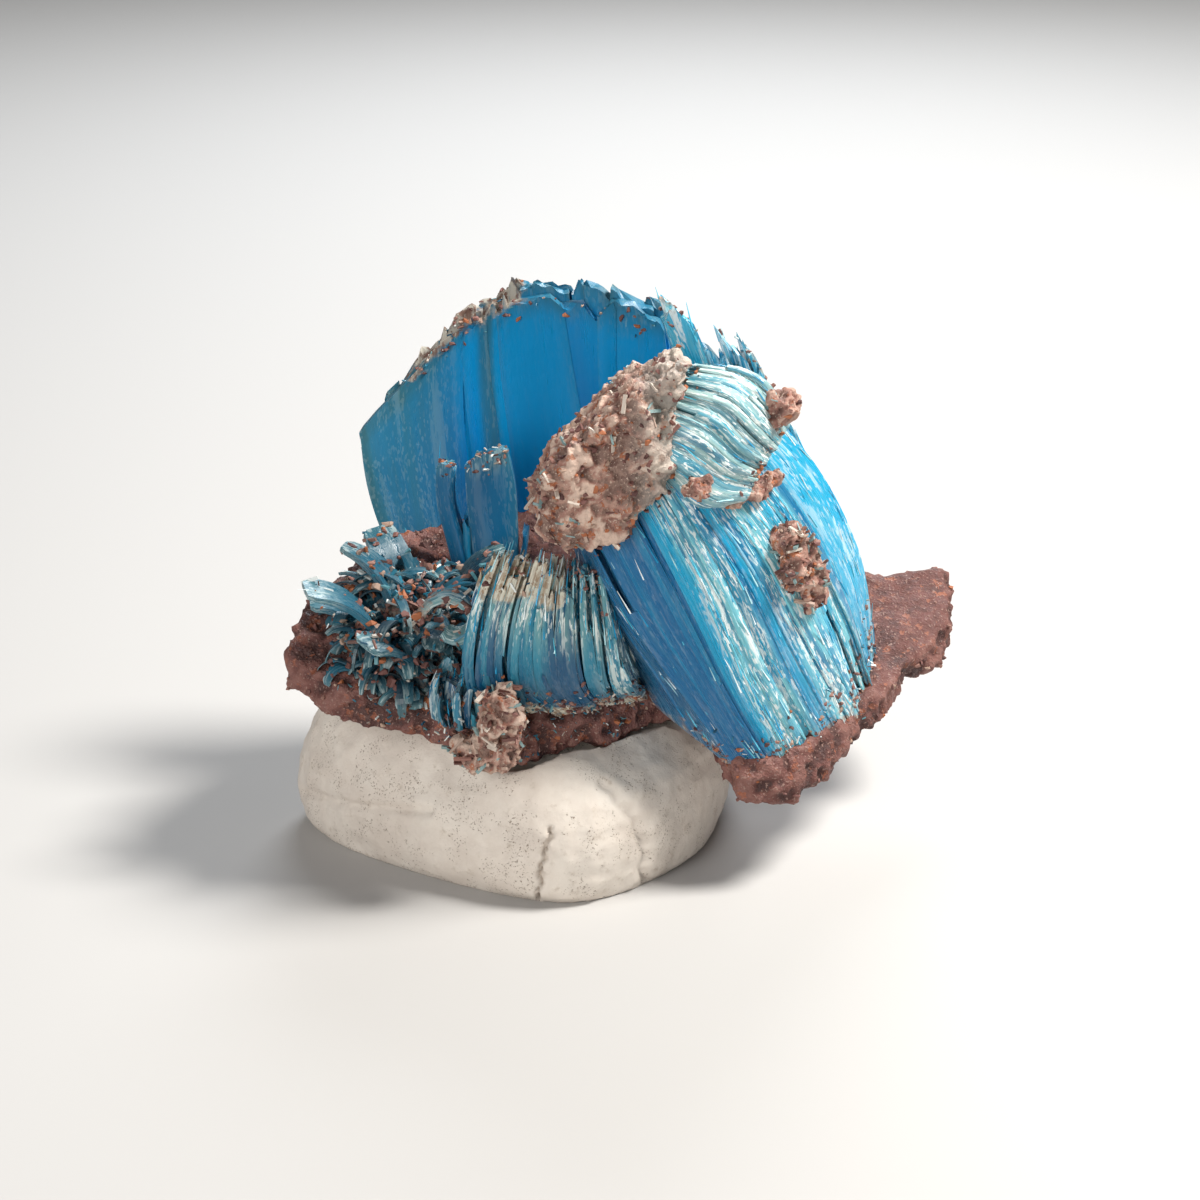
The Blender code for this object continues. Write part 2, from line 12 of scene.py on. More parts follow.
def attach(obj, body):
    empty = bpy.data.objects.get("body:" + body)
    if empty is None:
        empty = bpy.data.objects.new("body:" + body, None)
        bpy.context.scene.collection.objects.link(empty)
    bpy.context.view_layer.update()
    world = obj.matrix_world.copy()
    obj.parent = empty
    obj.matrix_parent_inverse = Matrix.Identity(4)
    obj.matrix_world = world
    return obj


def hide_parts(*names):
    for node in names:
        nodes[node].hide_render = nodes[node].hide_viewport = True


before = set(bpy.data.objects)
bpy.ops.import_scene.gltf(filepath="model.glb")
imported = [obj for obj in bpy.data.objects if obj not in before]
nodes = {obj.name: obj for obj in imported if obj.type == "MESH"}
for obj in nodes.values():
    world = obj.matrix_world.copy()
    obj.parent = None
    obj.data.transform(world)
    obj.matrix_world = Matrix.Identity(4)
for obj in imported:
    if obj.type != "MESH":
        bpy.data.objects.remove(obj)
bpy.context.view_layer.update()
mm = 0.001
print("frame loaded")

# The photograph's view: straight along +Y, looking down a little
cameraPlan = {
    "target": (2.2, 1.0, 12.0),  # mm, in the middle of the picture
    "elevation": 22.0,
    "distance": 150.0,
    "lens": 90.0,
    "sensor": 36.0,
    "picture": 1200,
    "clip": (0.005, 5.0),  # m
}


def cameraAxes():
    tilt = math.radians(cameraPlan["elevation"])
    ahead = np.array([0.0, math.cos(tilt), -math.sin(tilt)])
    up = np.array([0.0, math.sin(tilt), math.cos(tilt)])
    eye = np.array(cameraPlan["target"]) - ahead * cameraPlan["distance"]
    return eye, ahead, up


def addCamera():
    eye, ahead, up = cameraAxes()
    data = bpy.data.cameras.new("camera")
    data.lens = cameraPlan["lens"]
    data.sensor_width = cameraPlan["sensor"]
    data.clip_start, data.clip_end = cameraPlan["clip"]
    camera = bpy.data.objects.new("camera", data)
    camera.location = Vector(eye) * mm
    camera.rotation_euler = (math.radians(90 - cameraPlan["elevation"]), 0, 0)
    bpy.context.scene.collection.objects.link(camera)
    bpy.context.scene.camera = camera


def pictureSpots(points):  # where points (mm) fall in the photograph, in pixels
    eye, ahead, up = cameraAxes()
    away = points - eye
    depth = away @ ahead
    half = cameraPlan["picture"] / 2
    zoom = cameraPlan["lens"] / cameraPlan["sensor"] * cameraPlan["picture"]
    return np.stack([half + zoom * away[:, 0] / depth, half - zoom * (away @ up) / depth], axis=1)


addCamera()


# Small helpers for meshes


def link(obj):
    bpy.context.scene.collection.objects.link(obj)
    return obj


def settle(obj):  # the modifiers' result as a plain mesh
    bpy.context.view_layer.update()
    evaluated = obj.evaluated_get(bpy.context.evaluated_depsgraph_get())
    obj.data = bpy.data.meshes.new_from_object(evaluated)
    obj.modifiers.clear()
    return obj


def meshObject(name, points, faces, material=None):
    mesh = bpy.data.meshes.new(name)
    mesh.from_pydata((np.asarray(points) * mm).tolist(), [], faces)
    mesh.validate()
    bm = bmesh.new()
    bm.from_mesh(mesh)
    if bm.calc_volume(signed=True) < 0:
        bmesh.ops.reverse_faces(bm, faces=bm.faces)
    bm.to_mesh(mesh)
    bm.free()
    if material:
        mesh.materials.append(material)
    return link(bpy.data.objects.new(name, mesh))


def setPointValues(obj, **values):  # a number or a vector for each point
    for name, numbers in values.items():
        numbers = np.asarray(numbers, np.float32)
        kind, field = ("FLOAT", "value") if numbers.ndim == 1 else ("FLOAT_VECTOR", "vector")
        attribute = obj.data.attributes.new(name, kind, "POINT")
        attribute.data.foreach_set(field, numbers.ravel())


def pointsOf(obj):  # in mm
    found = np.zeros(len(obj.data.vertices) * 3)
    obj.data.vertices.foreach_get("co", found)
    return found.reshape(-1, 3) / mm


def normalsOf(obj):
    found = np.zeros(len(obj.data.vertices) * 3)
    obj.data.vertex_normals.foreach_get("vector", found)
    return found.reshape(-1, 3)


def movePoints(obj, points):
    obj.data.vertices.foreach_set("co", (np.asarray(points) * mm).ravel())
    obj.data.update()


def smoothStep(low, high, value):
    share = np.clip((value - low) / (high - low), 0, 1)
    return share * share * (3 - 2 * share)


def fineCopy(nodeName, name, voxel):  # a CAD node's shape with an even, fine skin
    mesh = nodes[nodeName].data.copy()
    mesh.materials.clear()
    bm = bmesh.new()
    bm.from_mesh(mesh)
    bmesh.ops.remove_doubles(bm, verts=bm.verts, dist=0.002 * mm)
    bm.to_mesh(mesh)
    bm.free()
    obj = link(bpy.data.objects.new(name, mesh))
    skin = obj.modifiers.new("skin", "REMESH")
    skin.mode = "VOXEL"
    skin.voxel_size = voxel * mm
    skin.use_smooth_shade = True
    return settle(obj)


def roughen(obj, layers, seed, calm=None):  # layers: (pattern, size in mm, height in mm)
    points, normals = pointsOf(obj), normalsOf(obj)
    push = np.zeros(len(points))
    for number, (pattern, size, height) in enumerate(layers):
        shift = Vector((seed + 7.3 * number, 3.1 * seed, 1.7 * number))
        for index, point in enumerate(points):
            spot = Vector(point) / size + shift
            if pattern == "cloud":
                value = noise.noise(spot)
            elif pattern == "ridge":
                value = 0.5 - 2.2 * abs(noise.noise(spot))
            else:
                value = 0.55 - noise.voronoi(spot)[0][0]
            push[index] += value * height
    if calm is not None:
        push *= calm
    movePoints(obj, points + normals * push[:, None])
    spread = 1.5 * max(push.std(), 1e-6)
    # relief: how far each point was pushed out; the stone finish paints shade in the hollows and highlight on
    # the ridges from it
    setPointValues(obj, relief=np.clip(0.5 + (push - push.mean()) / spread / 2, 0, 1))


def finish(obj, slotName, *stoodFor):  # the last step of every piece
    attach(obj, "root")
    if stoodFor:
        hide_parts(*stoodFor)
    print("made", obj.name, len(obj.data.polygons), "faces")
    return obj


# Small helpers for node trees. An input is a plain value, or a (node, output) pair to link it to


def socketOf(sockets, name):  # or by its number, where several sockets share a name
    if isinstance(name, int):
        return sockets[name]
    return next(s for s in sockets if s.name == name and s.enabled)


def feed(tree, node, inputs):
    for name, value in inputs.items():
        socket = socketOf(node.inputs, name)
        if isinstance(value, tuple) and isinstance(value[0], bpy.types.Node):
            tree.links.new(socketOf(value[0].outputs, value[1]), socket)
        else:
            socket.default_value = value


def addNode(tree, kind, options=None, inputs=None):
    node = tree.nodes.new(kind)
    for key, value in (options or {}).items():
        setattr(node, key, value)
    feed(tree, node, inputs or {})
    return node


def newGroup(name, kind, inputs, outputs):
    tree = bpy.data.node_groups.new(name, kind)
    for way, sockets in (("INPUT", inputs), ("OUTPUT", outputs)):
        for label, holds in sockets.items():
            tree.interface.new_socket(label, in_out=way, socket_type="NodeSocket" + holds)
    return tree, tree.nodes.new("NodeGroupInput"), tree.nodes.new("NodeGroupOutput")


def combined(tree, operation, *values):
    return addNode(tree, "ShaderNodeMath", {"operation": operation}, dict(enumerate(values))), "Value"


def vectorMath(tree, operation, *values):
    return addNode(tree, "ShaderNodeVectorMath", {"operation": operation}, dict(enumerate(values))), 0


def scaledVector(tree, vector, factor):
    return addNode(tree, "ShaderNodeVectorMath", {"operation": "SCALE"}, {0: vector, "Scale": factor}), 0


def ranged(tree, value, low, high, toLow=0.0, toHigh=1.0):
    inputs = {"Value": value, "From Min": low, "From Max": high, "To Min": toLow, "To Max": toHigh}
    return addNode(tree, "ShaderNodeMapRange", {"interpolation_type": "SMOOTHSTEP"}, inputs), "Result"


def blendColours(tree, factor, first, second):
    inputs = {"Factor": factor}
    for side, value in (("A", first), ("B", second)):
        inputs[side] = value if isinstance(value[0], bpy.types.Node) else (*value, 1.0)
    return addNode(tree, "ShaderNodeMix", {"data_type": "RGBA"}, inputs), "Result"


def noiseNode(tree, vector, settings):
    return addNode(tree, "ShaderNodeTexNoise", None, {"Vector": vector, **settings})


def cellNodes(tree, vector):  # the cells, and each cell's random tones
    cells = addNode(tree, "ShaderNodeTexVoronoi", None, {"Vector": vector, "Scale": 1.0, "Randomness": 1.0})
    return cells, addNode(tree, "ShaderNodeSeparateColor", None, {"Color": (cells, "Color")})


# Patterns that several finishes share


def buildFibreGroup():  # silky lines that run along the crystals, and the streaks and flecks of painted glints
    inputs = {"Fibre": "Vector", "Across": "Float", "Along": "Float"}
    outputs = dict.fromkeys(("Fine", "Broad", "Glint", "Height"), "Float")
    tree, start, end = newGroup("fibreLines", "ShaderNodeTree", inputs, outputs)
    across, along, fibre = ((start, name) for name in ("Across", "Along", "Fibre"))
    stretch = addNode(tree, "ShaderNodeCombineXYZ", None, {"X": across, "Y": along, "Z": across})
    scaled = vectorMath(tree, "MULTIPLY", fibre, (stretch, 0))
    fine = noiseNode(tree, scaled, {"Scale": 1.0, "Detail": 5.0, "Roughness": 0.62})
    broad = noiseNode(tree, scaled, {"Scale": 0.22, "Detail": 3.0, "Distortion": 0.3})
    sparkle = noiseNode(tree, scaled, {"Scale": 0.9, "Detail": 3.0, "Roughness": 0.6})
    sway = vectorMath(tree, "MULTIPLY_ADD", (broad, "Color"), (0.4, 1.2, 0.4), fibre)
    split = cellNodes(tree, vectorMath(tree, "MULTIPLY", sway, (14.0, 3.6, 14.0)))[1]
    # painted highlight: glint streaks and flecks, which the crystal finish paints white
    glint = ranged(tree, (sparkle, "Fac"), 0.54, 0.66)
    mixed = combined(tree, "MULTIPLY_ADD", (sparkle, "Fac"), 2.2, (split, "Red"))
    paintedGlints = combined(tree, "MAXIMUM", glint, ranged(tree, mixed, 1.75, 2.05))
    height = combined(tree, "MULTIPLY_ADD", (split, "Green"), 0.3, (fine, "Fac"))
    feed(tree, end, {"Fine": (fine, "Fac"), "Broad": (broad, "Fac"), "Glint": paintedGlints, "Height": height})
    return tree


def buildGrainGroup():  # grains, specks and clouds of a coarse stone
    inputs = {"Place": "Vector", "Grain Size": "Float"}
    outputs = dict.fromkeys(("Cloud", "Grain", "Speck", "Height"), "Float")
    tree, start, end = newGroup("stoneGrain", "ShaderNodeTree", inputs, outputs)
    scaled = scaledVector(tree, (start, "Place"), combined(tree, "DIVIDE", 1 / mm, (start, "Grain Size")))
    cloud = noiseNode(tree, scaled, {"Scale": 0.3, "Detail": 6.0, "Roughness": 0.65})
    specks = noiseNode(tree, scaled, {"Scale": 2.3, "Detail": 2.0})
    bend = noiseNode(tree, scaled, {"Scale": 1.3, "Detail": 3.0})
    warped = vectorMath(tree, "MULTIPLY_ADD", (bend, "Color"), (2.2, 2.2, 2.2), scaled)
    cells, grain = cellNodes(tree, warped)
    bumps = combined(tree, "ADD", (cells, "Distance"), (specks, "Fac"))
    speck = ranged(tree, (specks, "Fac"), 0.6, 0.68)
    feed(tree, end, {"Cloud": (cloud, "Fac"), "Grain": (grain, "Red"), "Speck": speck, "Height": bumps})
    return tree


fibreGroup = buildFibreGroup()
grainGroup = buildGrainGroup()


def newMaterial(name):
    material = bpy.data.materials.new(name)
    material.use_nodes = True
    return material, material.node_tree, material.node_tree.nodes["Principled BSDF"]


def bumpFrom(tree, shader, source, height, strength):
    inputs = {"Strength": strength, "Distance": height * mm, "Height": source}
    feed(tree, shader, {"Normal": (addNode(tree, "ShaderNodeBump", None, inputs), "Normal")})


def meshValue(tree, name, output="Fac"):  # a value stored at the mesh's points
    options = {"attribute_type": "GEOMETRY", "attribute_name": name}
    return addNode(tree, "ShaderNodeAttribute", options), output


def grainNode(tree, size):
    inputs = {"Place": (addNode(tree, "ShaderNodeTexCoord"), "Object"), "Grain Size": size}
    return addNode(tree, "ShaderNodeGroup", {"node_tree": grainGroup}, inputs)


def crystalMaterial(name, ownLook):
    look = {**crystalLook, **ownLook}
    material, tree, shader = newMaterial(name)
    lines = addNode(tree, "ShaderNodeGroup", {"node_tree": fibreGroup}, {
        "Fibre": meshValue(tree, "fibre", "Vector"),
        "Across": look["across"],
        "Along": look["along"],
    })
    pale = meshValue(tree, "pale")
    # body colour from deep to bright blue, by each lath's tone with its painted light and shade
    depth = combined(tree, "ADD", (lines, "Broad"), meshValue(tree, "tone"))
    body = blendColours(tree, ranged(tree, depth, 0.55, 1.35), look["deep"], look["bright"])
    streaks = combined(tree, "ADD", (lines, "Fine"), (lines, "Broad"))
    milk = combined(tree, "MULTIPLY", pale, ranged(tree, streaks, 0.8, 1.25, look["haze"], 1.0))
    silky = blendColours(tree, milk, body, look["milk"])
    # painted highlight: white glints where the crystals are pale
    shiny = combined(tree, "MULTIPLY", (lines, "Glint"), look["glitter"])
    lit = blendColours(tree, combined(tree, "MULTIPLY", pale, shiny), silky, look["paintedGlintWhite"])
    grain = grainNode(tree, 0.25)
    crusted = ranged(tree, combined(tree, "ADD", meshValue(tree, "crust"), (grain, "Cloud")), 0.95, 1.15)
    banded = combined(tree, "ADD", (grain, "Grain"), ranged(tree, (lines, "Fine"), 0.4, 0.6))
    earth = blendColours(tree, ranged(tree, banded, 0.3, 1.5), look["crustDark"], look["crustPale"])
    rough = ranged(tree, (lines, "Fine"), 0.3, 0.7, *look["roughness"])
    feed(tree, shader, {
        "Base Color": blendColours(tree, crusted, lit, earth),
        "Roughness": combined(tree, "MAXIMUM", rough, crusted),
        "Transmission Weight": look["transmission"],
        "IOR": look["refraction"],
        "Specular IOR Level": look["specular"],
    })
    bumpFrom(tree, shader, (lines, "Height"), look["bump"], 0.5)
    return material


def stoneMaterial(name, look):  # mottled clouds, with painted shade (darker) in the hollows and a painted highlight (paler) on the ridges; tinted where "pale" says
    material, tree, shader = newMaterial(name)
    grain = grainNode(tree, look["grain"])
    # clouds plus relief: painted shade in the hollows, painted highlight on the ridges
    mottleAndShade = combined(tree, "ADD", (grain, "Cloud"), meshValue(tree, "relief"))
    ground = blendColours(tree, ranged(tree, mottleAndShade, 0.78, 1.12), look["dark"], look["base"])
    ridge = blendColours(tree, ranged(tree, mottleAndShade, 1.08, 1.42), ground, look["pale"])
    patch = combined(tree, "MULTIPLY", (grain, "Grain"), look["grainShare"])
    grained = blendColours(tree, patch, ridge, look["pale"])
    warm = blendColours(tree, ranged(tree, (grain, "Grain"), 0.16, 0.0), grained, look["rust"])
    tinted = blendColours(tree, meshValue(tree, "pale"), warm, look["tint"])
    feed(tree, shader, {
        "Base Color": blendColours(tree, (grain, "Speck"), tinted, look["speck"]),
        "Roughness": ranged(tree, (grain, "Grain"), 0.0, 1.0, *look["roughness"]),
    })
    bumpFrom(tree, shader, (grain, "Height"), look["bump"], 0.7)
    return material


def grainMaterial(name, colours, roughness):  # loose grains, each with a tone of its own
    material, tree, shader = newMaterial(name)
    ramp = addNode(tree, "ShaderNodeValToRGB", None, {"Fac": meshValue(tree, "tone")})
    ramp.color_ramp.interpolation = "CONSTANT"
    elements = ramp.color_ramp.elements
    elements.remove(elements[1])
    elements[0].color = (*colours[0], 1.0)
    for index, colour in enumerate(colours[1:], 1):
        elements.new(index / len(colours)).color = (*colour, 1.0)
    feed(tree, shader, {"Base Color": (ramp, "Color"), "Roughness": roughness})
    bumpFrom(tree, shader, (grainNode(tree, 0.08), "Height"), 0.02, 0.4)
    return material


# Crumbs, sticks and splinters that are strewn over the pieces


def storedValue(tree, kind, name):
    return addNode(tree, "GeometryNodeInputNamedAttribute", {"data_type": kind}, {"Name": name}), "Attribute"


def randomValue(tree, kind, inputs):
    return addNode(tree, "FunctionNodeRandomValue", {"data_type": kind}, inputs), "Value"


def followDirection(tree, spread, turn):  # along the crystals, and turned a little from there
    align = addNode(tree, "FunctionNodeAlignRotationToVector", {"axis": "Z"}, {
        "Rotation": (spread, "Rotation"),
        "Vector": storedValue(tree, "FLOAT_VECTOR", "direction"),
    })
    inputs = {"Rotation": (align, "Rotation"), "Rotate By": turn}
    return addNode(tree, "FunctionNodeRotateRotation", {"rotation_space": "LOCAL"}, inputs), "Rotation"


def buildScatterTree(name, makeItem, aligned):
    inputs = {
        "Geometry": "Geometry",
        "Density": "Float",
        "Smallest": "Float",
        "Largest": "Float",
        "Where": "String",
        "Seed": "Int",
        "Material": "Material",
    }
    tree, start, end = newGroup(name, "GeometryNodeTree", inputs, {"Geometry": "Geometry"})
    seed = {"Seed": (start, "Seed")}
    density = combined(tree, "MULTIPLY", storedValue(tree, "FLOAT", (start, "Where")), (start, "Density"))
    spread = addNode(tree, "GeometryNodeDistributePointsOnFaces", {"distribute_method": "RANDOM"}, {
        "Mesh": (start, "Geometry"),
        "Density": density,
        **seed,
    })
    size = randomValue(tree, "FLOAT", {"Min": (start, "Smallest"), "Max": (start, "Largest"), **seed})
    tilt, spin = (0.12, 0.4) if aligned else (math.pi, math.pi)
    limits = {"Min": (-tilt, -tilt, -spin), "Max": (tilt, tilt, spin)}
    turn = randomValue(tree, "FLOAT_VECTOR", {**limits, **seed})
    place = addNode(tree, "GeometryNodeInstanceOnPoints", None, {
        "Points": (spread, "Points"),
        "Instance": makeItem(tree),
        "Scale": size,
        "Rotation": followDirection(tree, spread, turn) if aligned else turn,
    })
    keep = addNode(tree, "GeometryNodeStoreNamedAttribute", {"data_type": "FLOAT", "domain": "INSTANCE"}, {
        "Name": "tone",
        "Geometry": (place, "Instances"),
        "Value": randomValue(tree, "FLOAT", {}),
    })
    solid = addNode(tree, "GeometryNodeRealizeInstances", None, {"Geometry": (keep, "Geometry")})
    inputs = {"Geometry": (solid, "Geometry"), "Material": (start, "Material")}
    feed(tree, end, {"Geometry": (addNode(tree, "GeometryNodeSetMaterial", None, inputs), "Geometry")})
    return tree


def crumbShape(tree):  # an uneven lump, 1 mm across
    ball = addNode(tree, "GeometryNodeMeshIcoSphere", None, {"Radius": 0.5 * mm, "Subdivisions": 1})
    bend = addNode(tree, "ShaderNodeTexNoise", None, {"Scale": 1.6 / mm, "Detail": 0.0})
    centred = vectorMath(tree, "SUBTRACT", (bend, "Color"), (0.5, 0.5, 0.5))
    inputs = {"Geometry": (ball, "Mesh"), "Offset": scaledVector(tree, centred, 0.9 * mm)}
    shaped = addNode(tree, "GeometryNodeSetPosition", None, inputs)
    inputs = {"Geometry": (shaped, "Geometry"), "Scale": (0.6, 0.8, 1.4)}
    return addNode(tree, "GeometryNodeTransform", None, inputs), "Geometry"


def sliverShape(tree):  # a thin splinter, 1 mm long, that lies along Z
    sizes = {"Vertices": 4, "Radius Top": 0.010 * mm, "Radius Bottom": 0.040 * mm, "Depth": 1.0 * mm}
    return addNode(tree, "GeometryNodeMeshCone", None, sizes), "Mesh"


def stickShape(tree):  # a broken bit of crystal, 1 mm long
    sizes = {"Size": (0.13 * mm, 0.20 * mm, 1.0 * mm)}
    return addNode(tree, "GeometryNodeMeshCube", None, sizes), "Mesh"


crumbTree = buildScatterTree("scatteredCrumbs", crumbShape, False)
stickTree = buildScatterTree("looseSticks", stickShape, False)
sliverTree = buildScatterTree("fibreSlivers", sliverShape, True)


# Crumbs, sticks or splinters over a piece, as a piece of their own. They lie where the value "where" is high
def litter(tree, source, name, material, slotName, perSquareMm, sizes, seed, where="grit"):
    obj = link(bpy.data.objects.new(name, source.data.copy()))
    modifier = obj.modifiers.new("scatter", "NODES")
    modifier.node_group = tree
    values = {
        "Density": perSquareMm / mm / mm,
        "Smallest": sizes[0],
        "Largest": sizes[1],
        "Where": where,
        "Seed": seed,
        "Material": material,
    }
    for item in tree.interface.items_tree:
        if item.in_out == "INPUT" and item.name in values:
            modifier[item.identifier] = values[item.name]
    settle(obj)
    for spare in ("pale", "crust", "grit", "silk", "relief", "direction"):
        attribute = obj.data.attributes.get(spare)
        if attribute:
            obj.data.attributes.remove(attribute)
    return finish(obj, slotName)


print("patterns and node trees ready")


# Mounting putty

puttyPlan = {
    "voxel": 0.14,
    "seed": 3,
    "layers": [("cloud", 5.0, 0.30), ("ridge", 2.6, 0.12), ("cloud", 0.7, 0.05)],
    # Three lines in its skin, drawn in pixels of the photograph
    "crack": {"path": [(552, 828), (545, 850), (541, 872), (538, 900)], "width": 2.8, "seed": 1.0},
    "crease": {"path": [(604, 783), (630, 812), (643, 845), (645, 885)], "width": 11, "seed": 2.0},
    "fold": {"path": [(306, 792), (350, 806), (428, 811)], "width": 9, "seed": 3.0},
    "base": (0.60, 0.53, 0.465),
    "pale": (0.70, 0.64, 0.57),
    "rust": (0.47, 0.40, 0.33),
    "speck": (0.30, 0.24, 0.19),
    "grain": 0.20,
    "bump": 0.10,
    "roughness": (0.6, 0.8),
}


def grooveDepth(spots, path, width, seed):  # how near picture spots lie to a drawn line
    best = np.full(len(spots), 1e9)
    for (x0, y0), (x1, y1) in zip(path, path[1:]):
        start, step = np.array([x0, y0]), np.array([x1 - x0, y1 - y0], float)
        share = np.clip(((spots - start) @ step) / (step @ step), 0, 1)
        wobble = 2.0 * np.sin(share * 9 + seed)
        gap = spots - start - share[:, None] * step
        gap[:, 0] += wobble
        best = np.minimum(best, np.linalg.norm(gap, axis=1))
    return np.clip(1 - best / width, 0, 1)


def puttyMaterial(look):
    material, tree, shader = newMaterial("puttyTack")
    coarse, fine = grainNode(tree, 0.9), grainNode(tree, look["grain"])
    tint = blendColours(tree, ranged(tree, (coarse, "Cloud"), 0.3, 0.7), look["base"], look["pale"])
    warm = blendColours(tree, ranged(tree, (fine, "Cloud"), 0.55, 0.8), tint, look["rust"])
    # painted shade in the pores and along the crack
    pores = combined(tree, "MULTIPLY", (fine, "Speck"), ranged(tree, (coarse, "Grain"), 0.55, 0.7))
    pitShade = combined(tree, "MAXIMUM", pores, meshValue(tree, "crack"))
    feed(tree, shader, {
        "Base Color": blendColours(tree, pitShade, warm, look["speck"]),
        "Roughness": ranged(tree, (fine, "Cloud"), 0.3, 0.7, *look["roughness"]),
    })
    bumpFrom(tree, shader, combined(tree, "SUBTRACT", (fine, "Cloud"), pitShade), look["bump"], 0.6)
    return material


def makePutty():
    putty = fineCopy("mounting_putty", "putty", puttyPlan["voxel"])
    calm = smoothStep(0.0, 0.6, pointsOf(putty)[:, 2])
    roughen(putty, puttyPlan["layers"], puttyPlan["seed"], calm)
    points, normals = pointsOf(putty), normalsOf(putty)
    spots = pictureSpots(points)
    facing = smoothStep(0.0, 0.35, -normals @ cameraAxes()[1])
    crack, crease, fold = (grooveDepth(spots, **puttyPlan[name]) for name in ("crack", "crease", "fold"))
    carve = 0.35 * crack + 0.30 * crease**2 + 0.30 * fold**2
    movePoints(putty, points - normals * (carve * facing)[:, None])
    # the crack's depth, which the putty finish paints as shade
    setPointValues(putty, crack=crack * facing)
    putty.data.materials.append(puttyMaterial(puttyPlan))
    return finish(putty, "putty", "mounting_putty")


makePutty()


# Matrix rock and the bits of matrix on the crystals

rockPlan = {
    "voxel": 0.17,
    "seed": 1,
    "layers": [("cloud", 2.6, 0.28), ("ridge", 1.1, 0.22), ("cell", 0.6, 0.22), ("cloud", 0.36, 0.14)],
    "grain": 0.30,
    "grainShare": 0.22,
    "dark": (0.050, 0.018, 0.016),
    "base": (0.130, 0.046, 0.038),
    "pale": (0.20, 0.088, 0.072),
    "rust": (0.26, 0.08, 0.04),
    "speck": (0.27, 0.16, 0.13),
    "tint": (0.19, 0.085, 0.075),
    "bump": 0.10,
    "roughness": (0.55, 0.85),
}
capPlan = {
    "voxel": 0.11,
    "seed": 2,
    "layers": [
        ("cloud", 2.2, 0.30), ("ridge", 1.2, 0.22), ("cell", 0.8, 0.36), ("cell", 0.34, 0.24),
        ("cloud", 0.2, 0.10),
    ],
    "grain": 0.30,
    "grainShare": 0.42,
    "dark": (0.10, 0.036, 0.026),
    "base": (0.28, 0.12, 0.088),
    "pale": (0.56, 0.41, 0.33),
    "rust": (0.34, 0.11, 0.045),
    "speck": (0.48, 0.36, 0.29),
    "tint": (0.40, 0.44, 0.40),
    "bump": 0.08,
    "roughness": (0.5, 0.85),
}
crumbColours = [
    (0.10, 0.042, 0.038),
    (0.16, 0.068, 0.058),
    (0.21, 0.095, 0.080),
    (0.27, 0.14, 0.11),
    (0.18, 0.078, 0.066),
    (0.38, 0.26, 0.20),
    (0.36, 0.12, 0.05),
]
rockMaterial = stoneMaterial("matrixRock", rockPlan)
capMaterial = stoneMaterial("matrixCrust", capPlan)
redColours = {"dark": (0.08, 0.026, 0.020), "base": (0.24, 0.092, 0.068), "pale": (0.46, 0.29, 0.23)}
redMaterial = stoneMaterial("matrixRedCrust", {**capPlan, **redColours})
crumbMaterial = grainMaterial("matrixCrumbs", crumbColours, 0.7)
stickMaterial = grainMaterial("brokenSticks", [
    (0.12, 0.045, 0.035), (0.24, 0.11, 0.085), (0.42, 0.30, 0.24), (0.55, 0.47, 0.40), (0.20, 0.30, 0.30),
], 0.5)
jumbleMaterial = grainMaterial("brokenCrystals", [
    (0.01, 0.08, 0.14), (0.02, 0.16, 0.24), (0.10, 0.045, 0.035), (0.26, 0.13, 0.10), (0.50, 0.44, 0.38),
    (0.10, 0.26, 0.30), (0.70, 0.74, 0.72),
], 0.35)
bitPlans = {
    "chipUpper": {
        "node": "matrix_chip_upper", "seed": 4, "material": redMaterial, "crumbs": 0.8, "sticks": 0.3,
    },
    "patchSide": {
        "node": "matrix_patch_side", "seed": 5, "material": redMaterial, "crumbs": 3.0, "sticks": 2.5,
    },
    "clumpFront": {
        "node": "matrix_clump_front", "seed": 6, "material": capMaterial, "crumbs": 2.0, "sticks": 2.5,
    },
}
bitVoxel = 0.09
bitLayers = [("cloud", 1.3, 0.3), ("ridge", 0.8, 0.3), ("ridge", 0.35, 0.14)]


def gritAllOver(obj):
    setPointValues(obj, grit=np.ones(len(obj.data.vertices)))


def makeRock():
    rock = fineCopy("matrix_rock", "matrixPlate", rockPlan["voxel"])
    points, normals = pointsOf(rock), normalsOf(rock)
    flat = smoothStep(14.5, 17.0, points[:, 0]) * smoothStep(0.4, 0.8, normals[:, 2])
    roughen(rock, rockPlan["layers"], rockPlan["seed"], 1 - 0.85 * flat)
    setPointValues(rock, grit=np.clip(1 - 0.9 * flat, 0, 1) * (0.35 + 0.65 * (normals[:, 2] > -0.3)))
    rock.data.materials.append(rockMaterial)
    litter(crumbTree, rock, "plateCrumbs", crumbMaterial, "matrix", 0.9, (0.10, 0.42), 2)
    points, normals = pointsOf(rock), normalsOf(rock)
    front = smoothStep(-2.0, -5.5, points[:, 1] - 0.2 * points[:, 0]) * smoothStep(6.0, 3.5, points[:, 0])
    setPointValues(rock, jumble=front * smoothStep(-0.5, 0.1, normals[:, 2]))
    litter(stickTree, rock, "plateSticks", jumbleMaterial, "teal_crystal", 7.0, (0.12, 0.45), 12, "jumble")
    return finish(rock, "matrix", "matrix_rock")


def makeCap():
    cap = fineCopy("matrix_cap", "matrixCap", capPlan["voxel"])
    roughen(cap, capPlan["layers"], capPlan["seed"])
    gritAllOver(cap)
    setPointValues(cap, pale=0.45 * smoothStep(3.0, 5.4, pointsOf(cap)[:, 0]))
    cap.data.materials.append(capMaterial)
    litter(crumbTree, cap, "capCrumbs", crumbMaterial, "matrix", 1.6, (0.08, 0.42), 5)
    litter(stickTree, cap, "capSticks", stickMaterial, "matrix", 1.0, (0.3, 0.9), 15)
    return finish(cap, "matrix", "matrix_cap")


